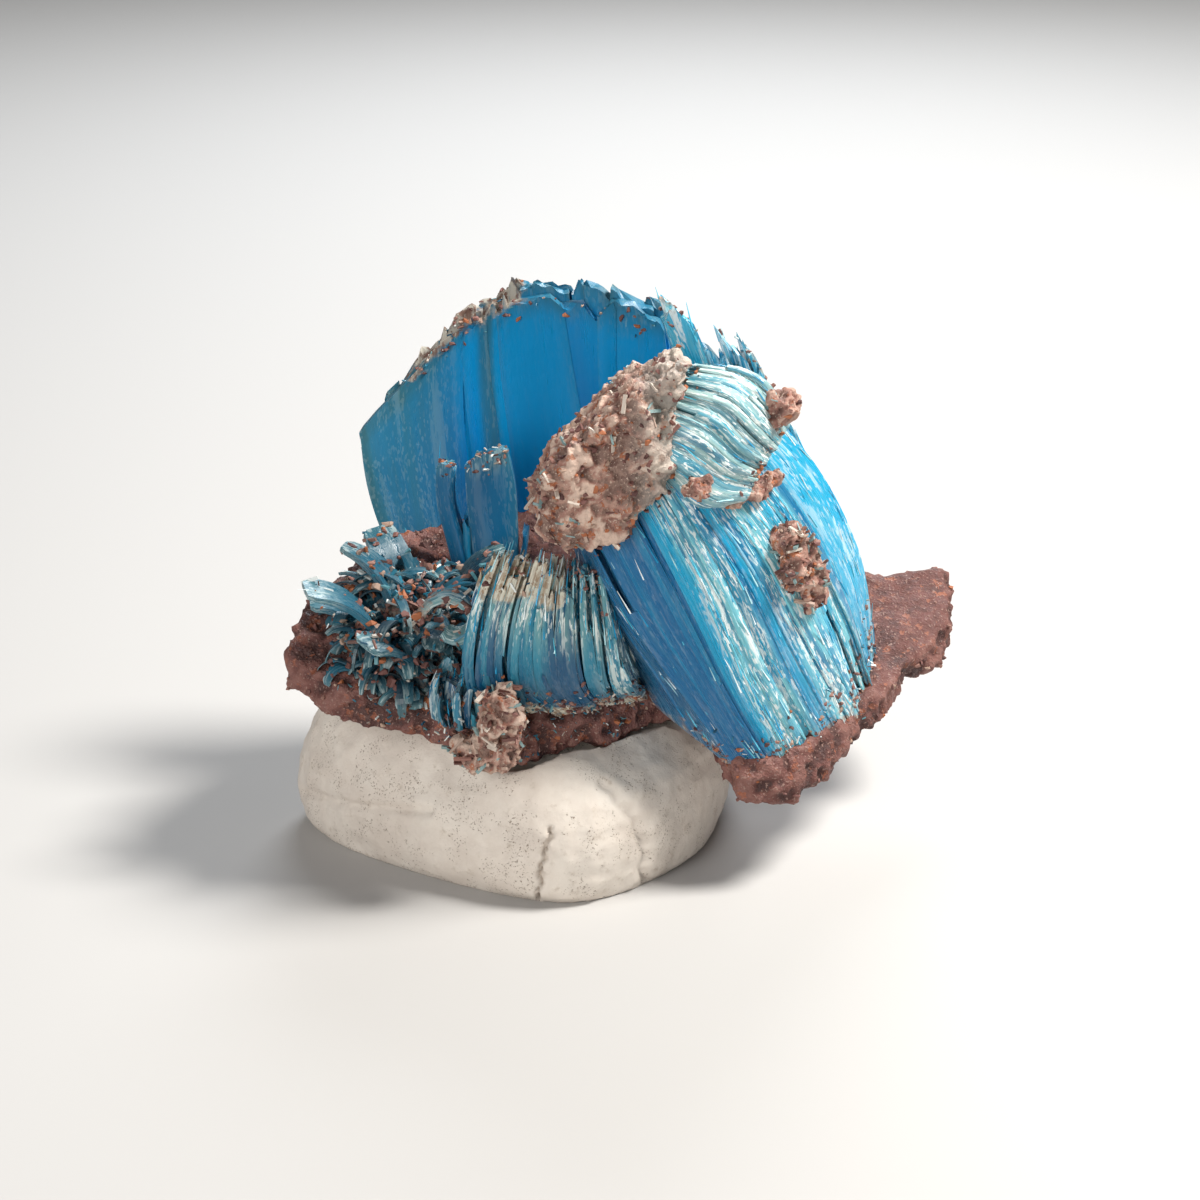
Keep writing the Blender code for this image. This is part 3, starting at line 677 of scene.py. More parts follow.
def makeBits():
    for name, plan in bitPlans.items():
        bit = fineCopy(plan["node"], name, bitVoxel)
        roughen(bit, bitLayers, plan["seed"])
        gritAllOver(bit)
        bit.data.materials.append(plan["material"])
        crumbs, sticks = plan["crumbs"], plan["sticks"]
        litter(crumbTree, bit, name + "Crumbs", crumbMaterial, "matrix", crumbs, (0.08, 0.42), plan["seed"])
        litter(stickTree, bit, name + "Sticks", stickMaterial, "matrix", sticks, (0.3, 1.0), 16)
        finish(bit, "matrix", plan["node"])


shardPlans = [
    {"start": (6.1, -7.9, 20.8), "end": (7.4, -7.6, 21.6), "thick": 0.38, "seed": 7},
    {"start": (8.3, -6.3, 19.7), "end": (10.7, -4.2, 20.5), "thick": 0.36, "seed": 8},
]
shardLayers = [("ridge", 1.0, 0.35), ("cell", 0.4, 0.2), ("cloud", 0.2, 0.08)]


def makeShards():  # thin ledges of matrix that lie across the arch
    for number, plan in enumerate(shardPlans):
        start, end = np.array(plan["start"]), np.array(plan["end"])
        long = (end - start) / 2
        side = np.cross(long, (0.0, 0.0, 1.0))
        side = side / np.linalg.norm(side)
        up = np.cross(side, long / np.linalg.norm(long))
        ball = bmesh.new()
        bmesh.ops.create_icosphere(ball, subdivisions=5, radius=1.0)
        spots = np.array([vert.co for vert in ball.verts])
        faces = [[vert.index for vert in face.verts] for face in ball.faces]
        ball.free()
        ways = np.array([long, side * plan["thick"], up * plan["thick"]])
        shard = meshObject(f"archShard{number}", (start + end) / 2 + spots @ ways, faces, redMaterial)
        roughen(shard, shardLayers, plan["seed"])
        gritAllOver(shard)
        name = f"archShardCrumbs{number}"
        litter(crumbTree, shard, name, crumbMaterial, "matrix", 4.0, (0.08, 0.36), plan["seed"])
        finish(shard, "matrix")


makeRock()
makeCap()
makeBits()
makeShards()


# Bundles of crystals. Guides run from root to tip; "depth" is the way from a bundle's front to its back

plateHeight = {"middle": 9.5, "alongX": -0.15, "alongY": 0.35}


def onPlate(x, y):
    return (x, y, plateHeight["middle"] + plateHeight["alongX"] * x + plateHeight["alongY"] * y)


def downPlate(x, y):
    return (x, y, plateHeight["alongX"] * x + plateHeight["alongY"] * y)


def curveAt(a, b, c, d, t):  # on the smooth curve from b to c, which comes from a and goes on to d
    return b + 0.5 * ((c - a) * t + (2 * a - 5 * b + 4 * c - d) * t**2 + (3 * b - a - 3 * c + d) * t**3)


def throughPoints(points, share):
    last = points.shape[-2] - 1
    step = np.minimum((np.clip(share, 0, 1) * last).astype(int), last - 1)
    before = 2 * points[..., :1, :] - points[..., 1:2, :]
    after = 2 * points[..., -1:, :] - points[..., -2:-1, :]
    padded = np.concatenate([before, points, after], axis=-2)
    return curveAt(*(padded[..., step + k, :] for k in range(4)), (share * last - step)[:, None])


def bundlePoints(bundle, along, across, deep):  # the places in a bundle at these shares of it
    lines = throughPoints(np.array(bundle["guides"], float), along)
    last = len(lines) - 1
    step = np.minimum((np.clip(across, 0, 1) * last).astype(int), last - 1)
    padded = np.concatenate([2 * lines[:1] - lines[1:2], lines, 2 * lines[-1:] - lines[-2:-1]])
    number = np.arange(len(along))
    face = curveAt(*(padded[step + k, number] for k in range(4)), (across * last - step)[:, None])
    root, tip = (np.array(way, float) for way in bundle["depth"])
    way = root + (tip - root) * along[:, None]
    return face + way * deep[:, None]


def lathSection(dice, lift, strips):  # a flat crystal's outline, across and deep: front, then back
    ridge = dice.uniform(0.25, 0.75)
    left, right = lift, dice.uniform(0.3, 1.0) * lift
    front = []
    for k in range(strips + 1):
        x = k / strips
        rise = left * (1 - x / ridge) ** 2 if x < ridge else right * ((x - ridge) / (1 - ridge)) ** 2
        front.append((x, rise))
    return front + [(0.03 + 0.94 * x, 1.0) for x, _ in reversed(front)]


def layLaths(bundle):  # every crystal of a bundle: the share of it that the crystal fills
    dice, backDice = random.Random(bundle["seed"]), random.Random(bundle["seed"] + 100)
    layers = bundle["layers"]
    laths = []
    for layer in range(layers):
        widths = [dice.uniform(*bundle["widths"]) for _ in range(bundle["across"])]
        if layer == 0:
            widths = bundle.get("chosen", widths)
        total = sum(widths)
        at = 0.0
        for number, width in enumerate(widths):
            share = width / total
            spot = Vector((at * bundle["clumps"], 2.3 * layer, bundle["seed"]))
            clump = noise.noise(spot)
            low, high = bundle["tips"]
            tip = low + (high - low) * min(1.0, max(0.0, 0.55 + 1.1 * clump + dice.uniform(-0.4, 0.4)))
            if "tops" in bundle:
                tip = bundle["tops"][number]
            calm = 0.3 if at < bundle["clearUpTo"] else 1.0
            foot, out = 0.0, calm * (dice.gauss(0, bundle["uneven"]) + bundle["sheaf"] * clump)
            if dice.random() < bundle["broken"] * calm:
                out -= 1.2 * bundle["uneven"]
                if dice.random() < 0.5:
                    tip *= dice.uniform(0.35, 0.9)
                else:
                    foot = dice.uniform(0.1, 0.5)
            bite = 0.0 if "tops" in bundle else dice.uniform(0.1, 0.45) * share
            back = min(1.0, (layer + 1 + dice.uniform(0.1, 0.4)) / layers)
            laths.append({
                "left": at - bite,
                "right": at + share + bite,
                "front": (layer + out) / layers,
                "back": back - backDice.uniform(0, 0.12) / layers,
                "foot": foot,
                "tip": tip - layer * bundle["layerDrop"],
                "slant": dice.uniform(-1, 1) * bundle["slant"],
                "point": dice.uniform(0, 1) * bundle["point"],
                "taper": dice.uniform(0, 1) ** 2 * bundle["taper"],
                "drift": bundle["drift"] * (clump + dice.gauss(0, 0.25)) / bundle["across"],
                "wave": dice.uniform(0, 6.3),
                "section": lathSection(dice, bundle["lift"], bundle["strips"]),
                "tone": min(1.0, max(0.0, 0.5 + 0.9 * clump + dice.uniform(-0.35, 0.35))),
            })
            at += share
    return laths, np.linspace(0, 1, bundle["steps"] + 1)


def prismFaces(first, corners, rings):  # a closed prism over rings of points, numbered from the first on
    faces = []
    for ring in range(rings - 1):
        low = first + ring * corners
        for k in range(corners):
            n = (k + 1) % corners
            faces.append((low + k, low + n, low + corners + n, low + corners + k))
    top = first + (rings - 1) * corners
    faces.append(tuple(first + k for k in reversed(range(corners))))
    faces.append(tuple(top + k for k in range(corners)))
    return faces


def bundleSize(bundle, ups):  # its length, width and thickness in mm
    middle = np.array([0.5])

    def spot(along, across):
        return bundlePoints(bundle, np.array([along]), np.array([across]), middle)

    long = sum(np.linalg.norm(spot(b, 0.5) - spot(a, 0.5)) for a, b in zip(ups, ups[1:]))
    return long, np.linalg.norm(spot(0.5, 1.0) - spot(0.5, 0.0)), np.linalg.norm(bundle["depth"][0])


def bundleObject(name, bundle):
    laths, ups = layLaths(bundle)
    long, wide, thick = bundleSize(bundle, ups)
    along, across, deep, tone, rim, faces = [], [], [], [], [], []
    for lath in laths:
        section = np.array(lath["section"])
        faces.extend(prismFaces(len(tone), len(section), len(ups)))
        x = section[:, 0]
        jags = np.array([noise.noise(Vector((3.1 * spot, lath["wave"] * 9, 0))) for spot in x])
        ends = lath["tip"] + lath["slant"] * (x - 0.5) - lath["point"] * (2 * x - 1) ** 2
        ends = ends + bundle["jag"] * jags
        edge = smoothStep(0.6, 1.0, np.abs(2 * x - 1))
        for up in ups:
            shrink = 1 - lath["taper"] * up**6
            x = 0.5 + (section[:, 0] - 0.5) * shrink
            y = section[:, 1]
            wave = 0.12 * math.sin(lath["wave"] + 6 * up) / bundle["across"]
            across.extend(lath["left"] + (lath["right"] - lath["left"]) * x + lath["drift"] * up + wave)
            deep.extend(lath["front"] + (lath["back"] - lath["front"]) * y)
            along.extend(lath["foot"] + (ends - lath["foot"]) * up)
            tone.extend([lath["tone"]] * len(section))
            rim.extend(edge)
    along, across, deep = np.array(along), np.array(across), np.array(deep)
    points = bundlePoints(bundle, along, across, deep)
    ahead = bundlePoints(bundle, along + 0.02, across, deep) - points
    obj = meshObject(name, points, faces, bundle["material"])
    pale = np.clip(bundle["pale"](along, across, deep) + bundle["rim"] * np.array(rim), 0, 1)
    outside = np.maximum(smoothStep(0.35, 0.2, deep), smoothStep(0.85, 1.0, deep))
    # tone: each lath's own tone, with the bundle's painted light and shade added
    setPointValues(
        obj,
        fibre=np.stack([across * wide, along * long, deep * thick + 9.0 * np.array(tone)], axis=1),
        direction=ahead / np.linalg.norm(ahead, axis=1)[:, None],
        tone=np.array(tone) + bundle["light"](along, across),
        pale=pale,
        crust=np.clip(bundle["crust"](along, across, deep), 0, 1),
        grit=np.clip(bundle["grit"](along, across, deep), 0, 1) * outside,
        silk=bundle["silk"] * pale * outside * smoothStep(0.97, 0.85, along),
    )
    return obj


def joinPieces(first, *others):
    with bpy.context.temp_override(active_object=first, selected_editable_objects=[first, *others]):
        bpy.ops.object.join()
    return first


crystalLook = {
    "crustDark": (0.22, 0.13, 0.10), "crustPale": (0.58, 0.55, 0.48),
    "across": 4.0, "along": 0.35, "roughness": (0.2, 0.5), "transmission": 0.20, "specular": 0.4,
    "refraction": 1.53, "bump": 0.07, "haze": 0.2, "glitter": 1.0,
}
deepBlue = crystalMaterial("crystalDeepBlue", {
    "along": 0.32,
    "deep": (0.0, 0.13, 0.33), "bright": (0.0, 0.41, 0.70),
    "milk": (0.25, 0.68, 0.75), "paintedGlintWhite": (0.90, 0.98, 0.98),
    "roughness": (0.15, 0.42), "transmission": 0.25, "specular": 0.25, "haze": 0.15,
})
padPale = crystalMaterial("crystalPad", {
    "deep": (0.01, 0.17, 0.30), "bright": (0.04, 0.36, 0.50),
    "milk": (0.42, 0.62, 0.60), "paintedGlintWhite": (0.90, 0.96, 0.93),
})
paleTeal = crystalMaterial("crystalTeal", {
    "crustDark": (0.42, 0.30, 0.20), "crustPale": (0.80, 0.78, 0.66),
    "deep": (0.0, 0.08, 0.19), "bright": (0.01, 0.24, 0.37),
    "milk": (0.24, 0.48, 0.48), "paintedGlintWhite": (0.88, 0.95, 0.90),
    "haze": 0.0,
})
# very dark: partly the curls' own dark teal, partly painted shade, since the cluster lies on the shaded side
curlTeal = crystalMaterial("crystalCurls", {
    "crustDark": (0.10, 0.055, 0.045), "crustPale": (0.42, 0.34, 0.28),
    "across": 3.5, "along": 0.5,
    "deep": (0.006, 0.028, 0.055), "bright": (0.01, 0.11, 0.18),
    "milk": (0.14, 0.30, 0.32), "paintedGlintWhite": (0.70, 0.80, 0.78),
    "specular": 0.35, "bump": 0.05, "haze": 0.4, "glitter": 0.8,
})
fanBlue = crystalMaterial("crystalFanBlue", {
    "across": 2.2, "along": 0.10,
    "deep": (0.0, 0.19, 0.60), "bright": (0.0, 0.40, 0.86),
    "milk": (0.045, 0.17, 0.215), "paintedGlintWhite": (0.45, 0.62, 0.62),
    "roughness": (0.25, 0.45), "transmission": 0.30, "specular": 0.15, "bump": 0.02,
    "haze": 0.8, "glitter": 0.2,
})
bladeTeal = crystalMaterial("crystalShortBlades", {
    "across": 2.2, "along": 0.2,
    "deep": (0.0, 0.13, 0.32), "bright": (0.0, 0.24, 0.46),
    "milk": (0.07, 0.25, 0.34), "paintedGlintWhite": (0.55, 0.74, 0.76),
    "roughness": (0.25, 0.45), "transmission": 0.30, "specular": 0.2, "bump": 0.02,
    "haze": 0.5, "glitter": 0.6,
})

# What a bundle has where it says nothing else. The shares s, a and d run along, across and into a bundle
usualBundle = {
    "lift": 0.05, "clumps": 4, "broken": 0.0, "layerDrop": 0.0, "rim": 0.0, "strips": 3, "clearUpTo": 0.0,
    # light: painted light and shade, added to each lath's tone
    "light": lambda s, a: 0 * s,
}


def archPale(along, across, deep):  # milky streaks beside the clear left face, and again further right: partly the fibres' own milk, partly painted sheen on the flank that faces the light
    border = smoothStep(0.28, 0.36, across) * smoothStep(0.54, 0.46, across)
    flank = smoothStep(0.52, 0.62, across) * smoothStep(0.88, 0.76, across)
    return 0.05 + 0.9 * border + 0.95 * flank + 0.4 * smoothStep(0.8, 0.95, across)


archBundle = {
    "guides": [
        [onPlate(8.9, -6.4), (6.5, -7.0, 9.9), (3.9, -7.0, 13.8), (1.7, -6.4, 18.0)],
        [onPlate(11.6, -5.8), (9.2, -7.0, 10.6), (7.0, -7.3, 15.6), (4.3, -6.6, 20.6)],
        [onPlate(15.2, -1.6), (12.9, -4.2, 12.0), (9.9, -5.6, 18.0), (5.6, -6.0, 23.6)],
        [onPlate(16.4, 2.4), (14.9, 0.0, 15.0), (11.6, -2.0, 21.2), (6.4, -4.6, 26.0)],
    ],
    "depth": [downPlate(-4.8, 4.6), (-1.2, 4.2, -0.4)],
    "across": 44, "layers": 5, "widths": (0.15, 2.4), "steps": 18, "clumps": 9, "broken": 0.2,
    "tips": (0.955, 1.0), "layerDrop": 0.004, "slant": 0.02, "point": 0.01, "taper": 0.4, "uneven": 0.05,
    "sheaf": 0.55, "drift": 0.6, "silk": 1.0, "seed": 21, "rim": 0.1, "jag": 0.01, "clearUpTo": 0.3,
    # painted light on the right flank, painted shade on the clear left face and towards the root
    "light": lambda s, a: (
        0.3 * smoothStep(0.6, 0.85, a) - 0.5 * smoothStep(0.34, 0.2, a) - 0.15 * smoothStep(0.4, 0.0, s)
    ),
    "pale": archPale,
    "crust": lambda s, a, d: 0.45 * smoothStep(0.90, 1.0, s) + 0.5 * smoothStep(0.2, 0.08, s),
    "grit": lambda s, a, d: 0.7 * smoothStep(0.20, 0.08, s) + smoothStep(0.93, 1.0, s),
}
crestBundle = {
    "guides": [
        [onPlate(9.2, 3.0), (9.0, 3.2, 14.4), (7.4, 3.3, 20.4), (4.7, 4.0, 27.0)],
        [onPlate(11.2, 2.8), (11.2, 2.9, 14.2), (10.2, 2.9, 20.0), (8.4, 3.6, 25.9)],
        [onPlate(13.2, 2.4), (13.1, 2.2, 13.6), (12.2, 2.2, 18.4), (10.6, 3.0, 22.6)],
        [onPlate(15.2, 2.0), (15.1, 1.5, 11.8), (14.3, 1.6, 15.2), (13.2, 2.0, 18.4)],
    ],
    "depth": [downPlate(-1.0, 2.8), (-0.4, 2.2, 0.0)],
    "across": 7, "layers": 2, "widths": (0.3, 1.8), "steps": 12,
    "chosen": [1.5, 0.8, 1.2, 1.6, 0.9, 1.2, 1.0], "tops": [0.96, 0.86, 0.90, 0.99, 0.86, 0.93, 0.84],
    "tips": (0.84, 0.96), "layerDrop": 0.02, "slant": 0.09, "point": 0.05, "taper": 0.5, "uneven": 0.18,
    "sheaf": 0.5, "drift": 0.3, "silk": 0.3, "seed": 22, "rim": 0.2, "jag": 0.05, "strips": 5,
    # painted light towards the top
    "light": lambda s, a: 0.5 * smoothStep(0.6, 0.95, s),
    "pale": lambda s, a, d: 0.5 + 0.5 * smoothStep(0.75, 0.95, s),
    "crust": lambda s, a, d: 0.56 * smoothStep(0.84, 1.0, s) + 0.5 * smoothStep(0.2, 0.08, s),
    "grit": lambda s, a, d: smoothStep(0.9, 1.0, s),
}
padBundle = {
    "guides": [
        [(9.0, -6.3, 20.0), (7.6, -7.6, 20.6), (6.2, -7.8, 21.6), (4.4, -7.2, 22.8)],
        [(10.2, -4.8, 21.6), (9.0, -6.2, 23.0), (7.6, -6.4, 24.4), (5.4, -6.0, 25.0)],
        [(11.2, -2.6, 22.4), (10.2, -4.2, 24.8), (8.8, -4.6, 25.9), (6.9, -4.9, 26.3)],
    ],
    "depth": [(-1.6, 1.6, -1.6), (-0.5, 1.6, -0.8)],
    "across": 34, "layers": 3, "widths": (0.2, 2.4), "steps": 9, "clumps": 8, "broken": 0.4,
    "tips": (0.95, 1.02), "slant": 0.03, "point": 0.02, "taper": 0.4, "uneven": 0.08, "sheaf": 0.4,
    "drift": 1.0, "silk": 0.6, "seed": 23, "jag": 0.02,
    "material": padPale,
    "pale": lambda s, a, d: 1.0 + 0 * s,
    "crust": lambda s, a, d: 0.4 * smoothStep(0.1, 0.0, s) + 0.35 * smoothStep(0.85, 1.0, s),
    "grit": lambda s, a, d: smoothStep(0.12, 0.0, s) + smoothStep(0.9, 1.0, s),
}


def fanPale(along, across, deep):  # greyish left blades, a pale ribbon, and milky tips
    left = smoothStep(0.30, 0.22, across)
    ribbon = smoothStep(0.36, 0.39, across) * smoothStep(0.45, 0.42, across)
    return 0.06 + 0.75 * left + 0.75 * ribbon + 0.8 * smoothStep(0.84, 0.97, along)


fanBundle = {
    "guides": [
        [onPlate(-7.6, 6.0), (-8.1, 6.3, 15.2), (-8.6, 6.3, 18.0), (-8.9, 6.4, 20.6)],
        [onPlate(-3.8, 7.6), (-4.2, 8.0, 16.4), (-4.5, 8.2, 20.8), (-4.5, 7.8, 25.2)],
        [onPlate(1.2, 8.4), (0.6, 8.8, 16.6), (-0.1, 8.8, 21.4), (-0.5, 8.2, 26.4)],
        [onPlate(5.8, 7.6), (5.6, 8.0, 16.0), (5.4, 7.8, 20.6), (5.3, 7.2, 25.2)],
    ],
    "depth": [downPlate(0.3, 2.2), (0.1, 1.4, 0.2)],
    "across": 17, "layers": 3, "widths": (0.3, 2.6), "steps": 14, "lift": 0.08, "clumps": 6,
    "tips": (0.88, 0.98), "slant": 0.03, "point": 0.03, "taper": 0.3, "uneven": 0.05, "sheaf": 0.30,
    "drift": 0.3, "silk": 0.06, "seed": 24, "rim": 0.22, "jag": 0.06, "strips": 7,
    "chosen": [3.6, 0.5, 1.5, 1.1, 1.3, 0.4, 2.6, 1.0, 1.6, 0.5, 1.4, 1.0],
    # painted light to the right and towards the top, painted shade towards the root
    "light": lambda s, a: (
        0.35 * smoothStep(0.4, 0.7, a) + 0.25 * smoothStep(0.4, 0.9, s) - 0.3 * smoothStep(0.5, 0.1, s)
    ),
    "pale": fanPale,
    "crust": lambda s, a, d: (
        0.68 * smoothStep(0.80, 0.95, s) * smoothStep(0.02, 0.12, a) * smoothStep(0.7, 0.5, a)
    ),
    "grit": lambda s, a, d: (
        smoothStep(0.84, 0.97, s) * smoothStep(0.05, 0.25, a) * (1 - 0.6 * smoothStep(0.5, 0.7, a))
    ),
}
sprayBundle = {
    "guides": [
        [onPlate(-3.4, -5.6), (-4.3, -7.6, 11.4), (-3.9, -7.6, 14.6), (-2.9, -6.6, 17.3)],
        [onPlate(0.8, -4.6), (-0.8, -7.2, 10.8), (-0.9, -7.4, 14.0), (-0.3, -6.4, 16.8)],
        [onPlate(4.6, -2.4), (3.7, -5.8, 10.2), (3.1, -6.2, 13.0), (2.4, -5.6, 15.9)],
    ],
    "depth": [downPlate(0.4, 3.0), (0.2, 2.6, -0.2)],
    "across": 36, "layers": 4, "widths": (0.15, 2.6), "steps": 12, "lift": 0.03, "broken": 0.4,
    "tips": (0.80, 1.0), "layerDrop": 0.01, "slant": 0.05, "point": 0.03, "taper": 0.4, "uneven": 0.05,
    "sheaf": 0.18, "drift": 2.4, "silk": 0.6, "seed": 25, "jag": 0.04,
    # painted shade towards the root
    "light": lambda s, a: -0.4 * smoothStep(0.55, 0.2, s),
    "pale": lambda s, a, d: (
        0.05 + 0.8 * smoothStep(0.8, 1.0, a) * smoothStep(0.1, 0.3, s) + 0.9 * smoothStep(0.45, 0.75, s)
    ),
    "crust": lambda s, a, d: (
        0.8 * smoothStep(0.58, 0.90, s) * smoothStep(0.8, 0.6, a) + 0.7 * smoothStep(0.35, 0.1, s)
    ),
    "grit": lambda s, a, d: 0.5 * smoothStep(0.8, 1.0, s) + 0.8 * smoothStep(0.4, 0.1, s),
}
stubBundle = {
    "guides": [
        [onPlate(-5.6, -4.8), (-5.8, -6.6, 8.9), (-5.8, -7.0, 10.2), (-5.5, -6.8, 11.4)],
        [onPlate(-2.4, -5.4), (-2.6, -7.4, 8.3), (-2.7, -7.8, 9.8), (-2.6, -7.4, 11.2)],
    ],
    "depth": [downPlate(0.2, 2.4), (0.2, 2.6, 0.0)],
    "across": 14, "layers": 3, "widths": (0.2, 2.0), "steps": 8, "lift": 0.08, "broken": 0.3,
    "tips": (0.7, 1.0), "slant": 0.1, "point": 0.1, "taper": 0.6, "uneven": 0.2, "sheaf": 0.6,
    "drift": 1.2, "silk": 0.3, "seed": 26, "jag": 0.05,
    "pale": lambda s, a, d: 0.5 + 0 * s,
    "crust": lambda s, a, d: 0.5 * smoothStep(0.8, 1.0, s) + 0.6 * smoothStep(0.4, 0.1, s),
    "grit": lambda s, a, d: 0.4 + 0 * s,
}
bladeBundle = {
    "guides": [
        [onPlate(-5.2, 3.2), (-5.7, 3.9, 14.0), (-6.0, 4.3, 16.2), (-6.1, 4.6, 18.4)],
        [onPlate(-3.4, 3.2), (-3.8, 3.6, 13.8), (-4.2, 3.9, 16.2), (-4.2, 4.0, 18.8)],
        [onPlate(-1.4, 3.4), (-1.6, 3.7, 13.8), (-1.9, 3.9, 16.6), (-2.2, 4.0, 19.4)],
    ],
    "depth": [downPlate(0.1, 1.3), (0.1, 0.7, 0.0)],
    "across": 4, "layers": 1, "widths": (0.3, 2.4), "steps": 18, "lift": 0.25,
    "tips": (0.84, 1.0), "slant": 0.05, "point": 0.05, "taper": 0.1, "uneven": 0.03, "sheaf": 0.1,
    "drift": 0.1, "silk": 0.05, "seed": 27, "rim": 0.35, "jag": 0.06, "strips": 12,
    "chosen": [1.2, 0.5, 2.5, 0.25], "tops": [0.93, 0.5, 0.97, 0.4],
    "pale": lambda s, a, d: 0.15 + 0.85 * smoothStep(0.78, 0.97, s),
    "crust": lambda s, a, d: 0.5 * smoothStep(0.93, 1.0, s),
    "grit": lambda s, a, d: smoothStep(0.84, 0.94, s),
}
# Each bundled piece: its name, bundles, node, material and slot, and its slivers and crumbs per square mm
bundlePlans = [
    ("arch", [archBundle, crestBundle, padBundle], "arched_crystals", deepBlue, "blue_crystal", 3.2, 4.0),
    ("backFan", [fanBundle], "back_fan_crystals", fanBlue, "blue_crystal", 1.0, 4.0),
    ("frontSpray", [sprayBundle, stubBundle], "front_spray_crystals", paleTeal, "teal_crystal", 3.0, 5.0),
    ("shortBlades", [bladeBundle], "short_blade_crystals", bladeTeal, "teal_crystal", 6.0, 9.0),
]
# splinters along the fibres: blue tones of their own, and pale and white tones that are painted glints
splinterGlintMaterial = grainMaterial("crystalSplinterGlints", [
    (0.02, 0.35, 0.62), (0.10, 0.52, 0.68), (0.45, 0.75, 0.80), (0.85, 0.93, 0.94),
], 0.22)


def makeBundles():
    for name, bundles, node, material, slotName, slivers, crumbs in bundlePlans:
        bundles = [{**usualBundle, "material": material, **bundle} for bundle in bundles]
        made = [bundleObject(f"{name}{k}", bundle) for k, bundle in enumerate(bundles)]
        body = joinPieces(*made) if len(made) > 1 else made[0]
        body.name = name
        splinters, sticks = name + "Splinters", 0.7 * crumbs
        # splinters whose pale and white tones are partly painted glints
        litter(sliverTree, body, splinters, splinterGlintMaterial, slotName, slivers, (0.3, 1.3), 3, "silk")
        litter(crumbTree, body, name + "Crumbs", crumbMaterial, "matrix", crumbs, (0.08, 0.38), 8)
        litter(stickTree, body, name + "Sticks", jumbleMaterial, slotName, sticks, (0.15, 0.55), 18)
        finish(body, slotName, node)


makeBundles()


# Curled crystals at the left

curlPlans = [
    {"foot": (-8.6, -3.0, 10.8), "lean": (-1.0, -0.35), "radius": 4.1, "width": 3.0, "turn": 82},
    {"foot": (-7.6, -0.4, 11.4), "lean": (-0.9, 0.15), "radius": 4.6, "width": 3.4, "turn": 72},
    {"foot": (-7.2, -4.6, 10.0), "lean": (-0.7, -0.8), "radius": 3.2, "width": 2.8, "turn": 88},
    {"foot": (-8.0, 1.8, 12.0), "lean": (-0.5, 0.8), "radius": 3.6, "width": 2.6, "turn": 70},
    {"foot": (-4.8, 0.6, 12.0), "lean": (0.9, 0.2), "radius": 2.8, "width": 2.2, "turn": 80},
    {"foot": (-5.4, -3.0, 10.6), "lean": (-0.15, -1.0), "radius": 2.2, "width": 1.8, "turn": 120},
    {"foot": (-9.4, -0.8, 10.6), "lean": (-1.0, -0.1), "radius": 2.4, "width": 2.8, "turn": 95},
    {"foot": (-6.3, -5.2, 13.7), "lean": (1.0, -0.2), "radius": 1.5, "width": 1.5, "turn": 310,
     "shrink": 0.55, "thickness": 0.5, "pale": 1.0},
]
curlSteps = 14
curlThickness = 0.45
curlSection = [(-0.5, -0.5), (0.0, -0.7), (0.5, -0.5), (0.5, 0.5), (-0.5, 0.5)]
curlSeed = 41
curlField = {
    "middle": (-6.9, -1.7),
    "reach": (3.5, 4.2),
    "count": 520,
    "radius": (0.5, 2.2),
    "width": (0.2, 0.9),
    "turn": (30, 200),
    "thickness": (0.08, 0.35),
    "seed": 31,
}


def fieldCurls():
    dice = random.Random(curlField["seed"])
    found = []
    for _ in range(curlField["count"]):
        angle, reach = dice.uniform(0, math.tau), math.sqrt(dice.uniform(0.02, 1.0))
        x = curlField["middle"][0] + curlField["reach"][0] * reach * math.cos(angle)
        y = curlField["middle"][1] + curlField["reach"][1] * reach * math.sin(angle)
        swing = angle + dice.gauss(0, 1.3)
        height = onPlate(x, y)[2] + 0.6 + 2.0 * (1 - reach * reach) * dice.uniform(0.4, 1.0)
        curl = {key: dice.uniform(*curlField[key]) for key in ("radius", "width", "turn", "thickness")}
        curl["radius"] *= 1.0 - 0.45 * reach
        found.append({**curl, "foot": (x, y, height), "lean": (math.cos(swing), math.sin(swing))})
    return found


def addCurl(curl, dice, data):  # a flat crystal that bends over as it grows
    foot, lean = np.array(curl["foot"]), np.array([*curl["lean"], 0.0])
    lean = lean / np.linalg.norm(lean)
    side, up = np.array([-lean[1], lean[0], 0.0]), np.array([0.0, 0.0, 1.0])
    twist, shrink = dice.gauss(0, 0.35), curl.get("shrink", dice.uniform(0.0, 0.35))
    thickness = curl.get("thickness", curlThickness)
    spine, tone = foot.copy(), dice.uniform(0, 1)
    data["faces"].extend(prismFaces(len(data["points"]), len(curlSection), curlSteps + 1))
    stride = math.radians(curl["turn"]) / curlSteps
    for step in range(curlSteps + 1):
        share = step / curlSteps
        angle = stride * step
        radius = curl["radius"] * (1 - shrink * share)
        forward = lean * math.sin(angle) + up * math.cos(angle)
        out = up * math.sin(angle) - lean * math.cos(angle)
        if step:
            spine = spine + forward * radius * stride
        turned = side * math.cos(twist * share) + out * math.sin(twist * share)
        wide = curl["width"] * (1 - 0.4 * share) * (1 if step < curlSteps else 0.7)
        pale = curl.get("pale", 0.1 + 0.6 * float(smoothStep(0.6, 1.0, share)))
        for x, y in curlSection:
            data["points"].append(spine + turned * x * wide + out * y * thickness * (1 - 0.5 * share))
            data["fibre"].append((x * wide + 9 * tone, share * curl["radius"] * 2, y))
            data["direction"].append(forward)
            data["tone"].append(tone)
            data["along"].append(share)
            data["pale"].append(pale)


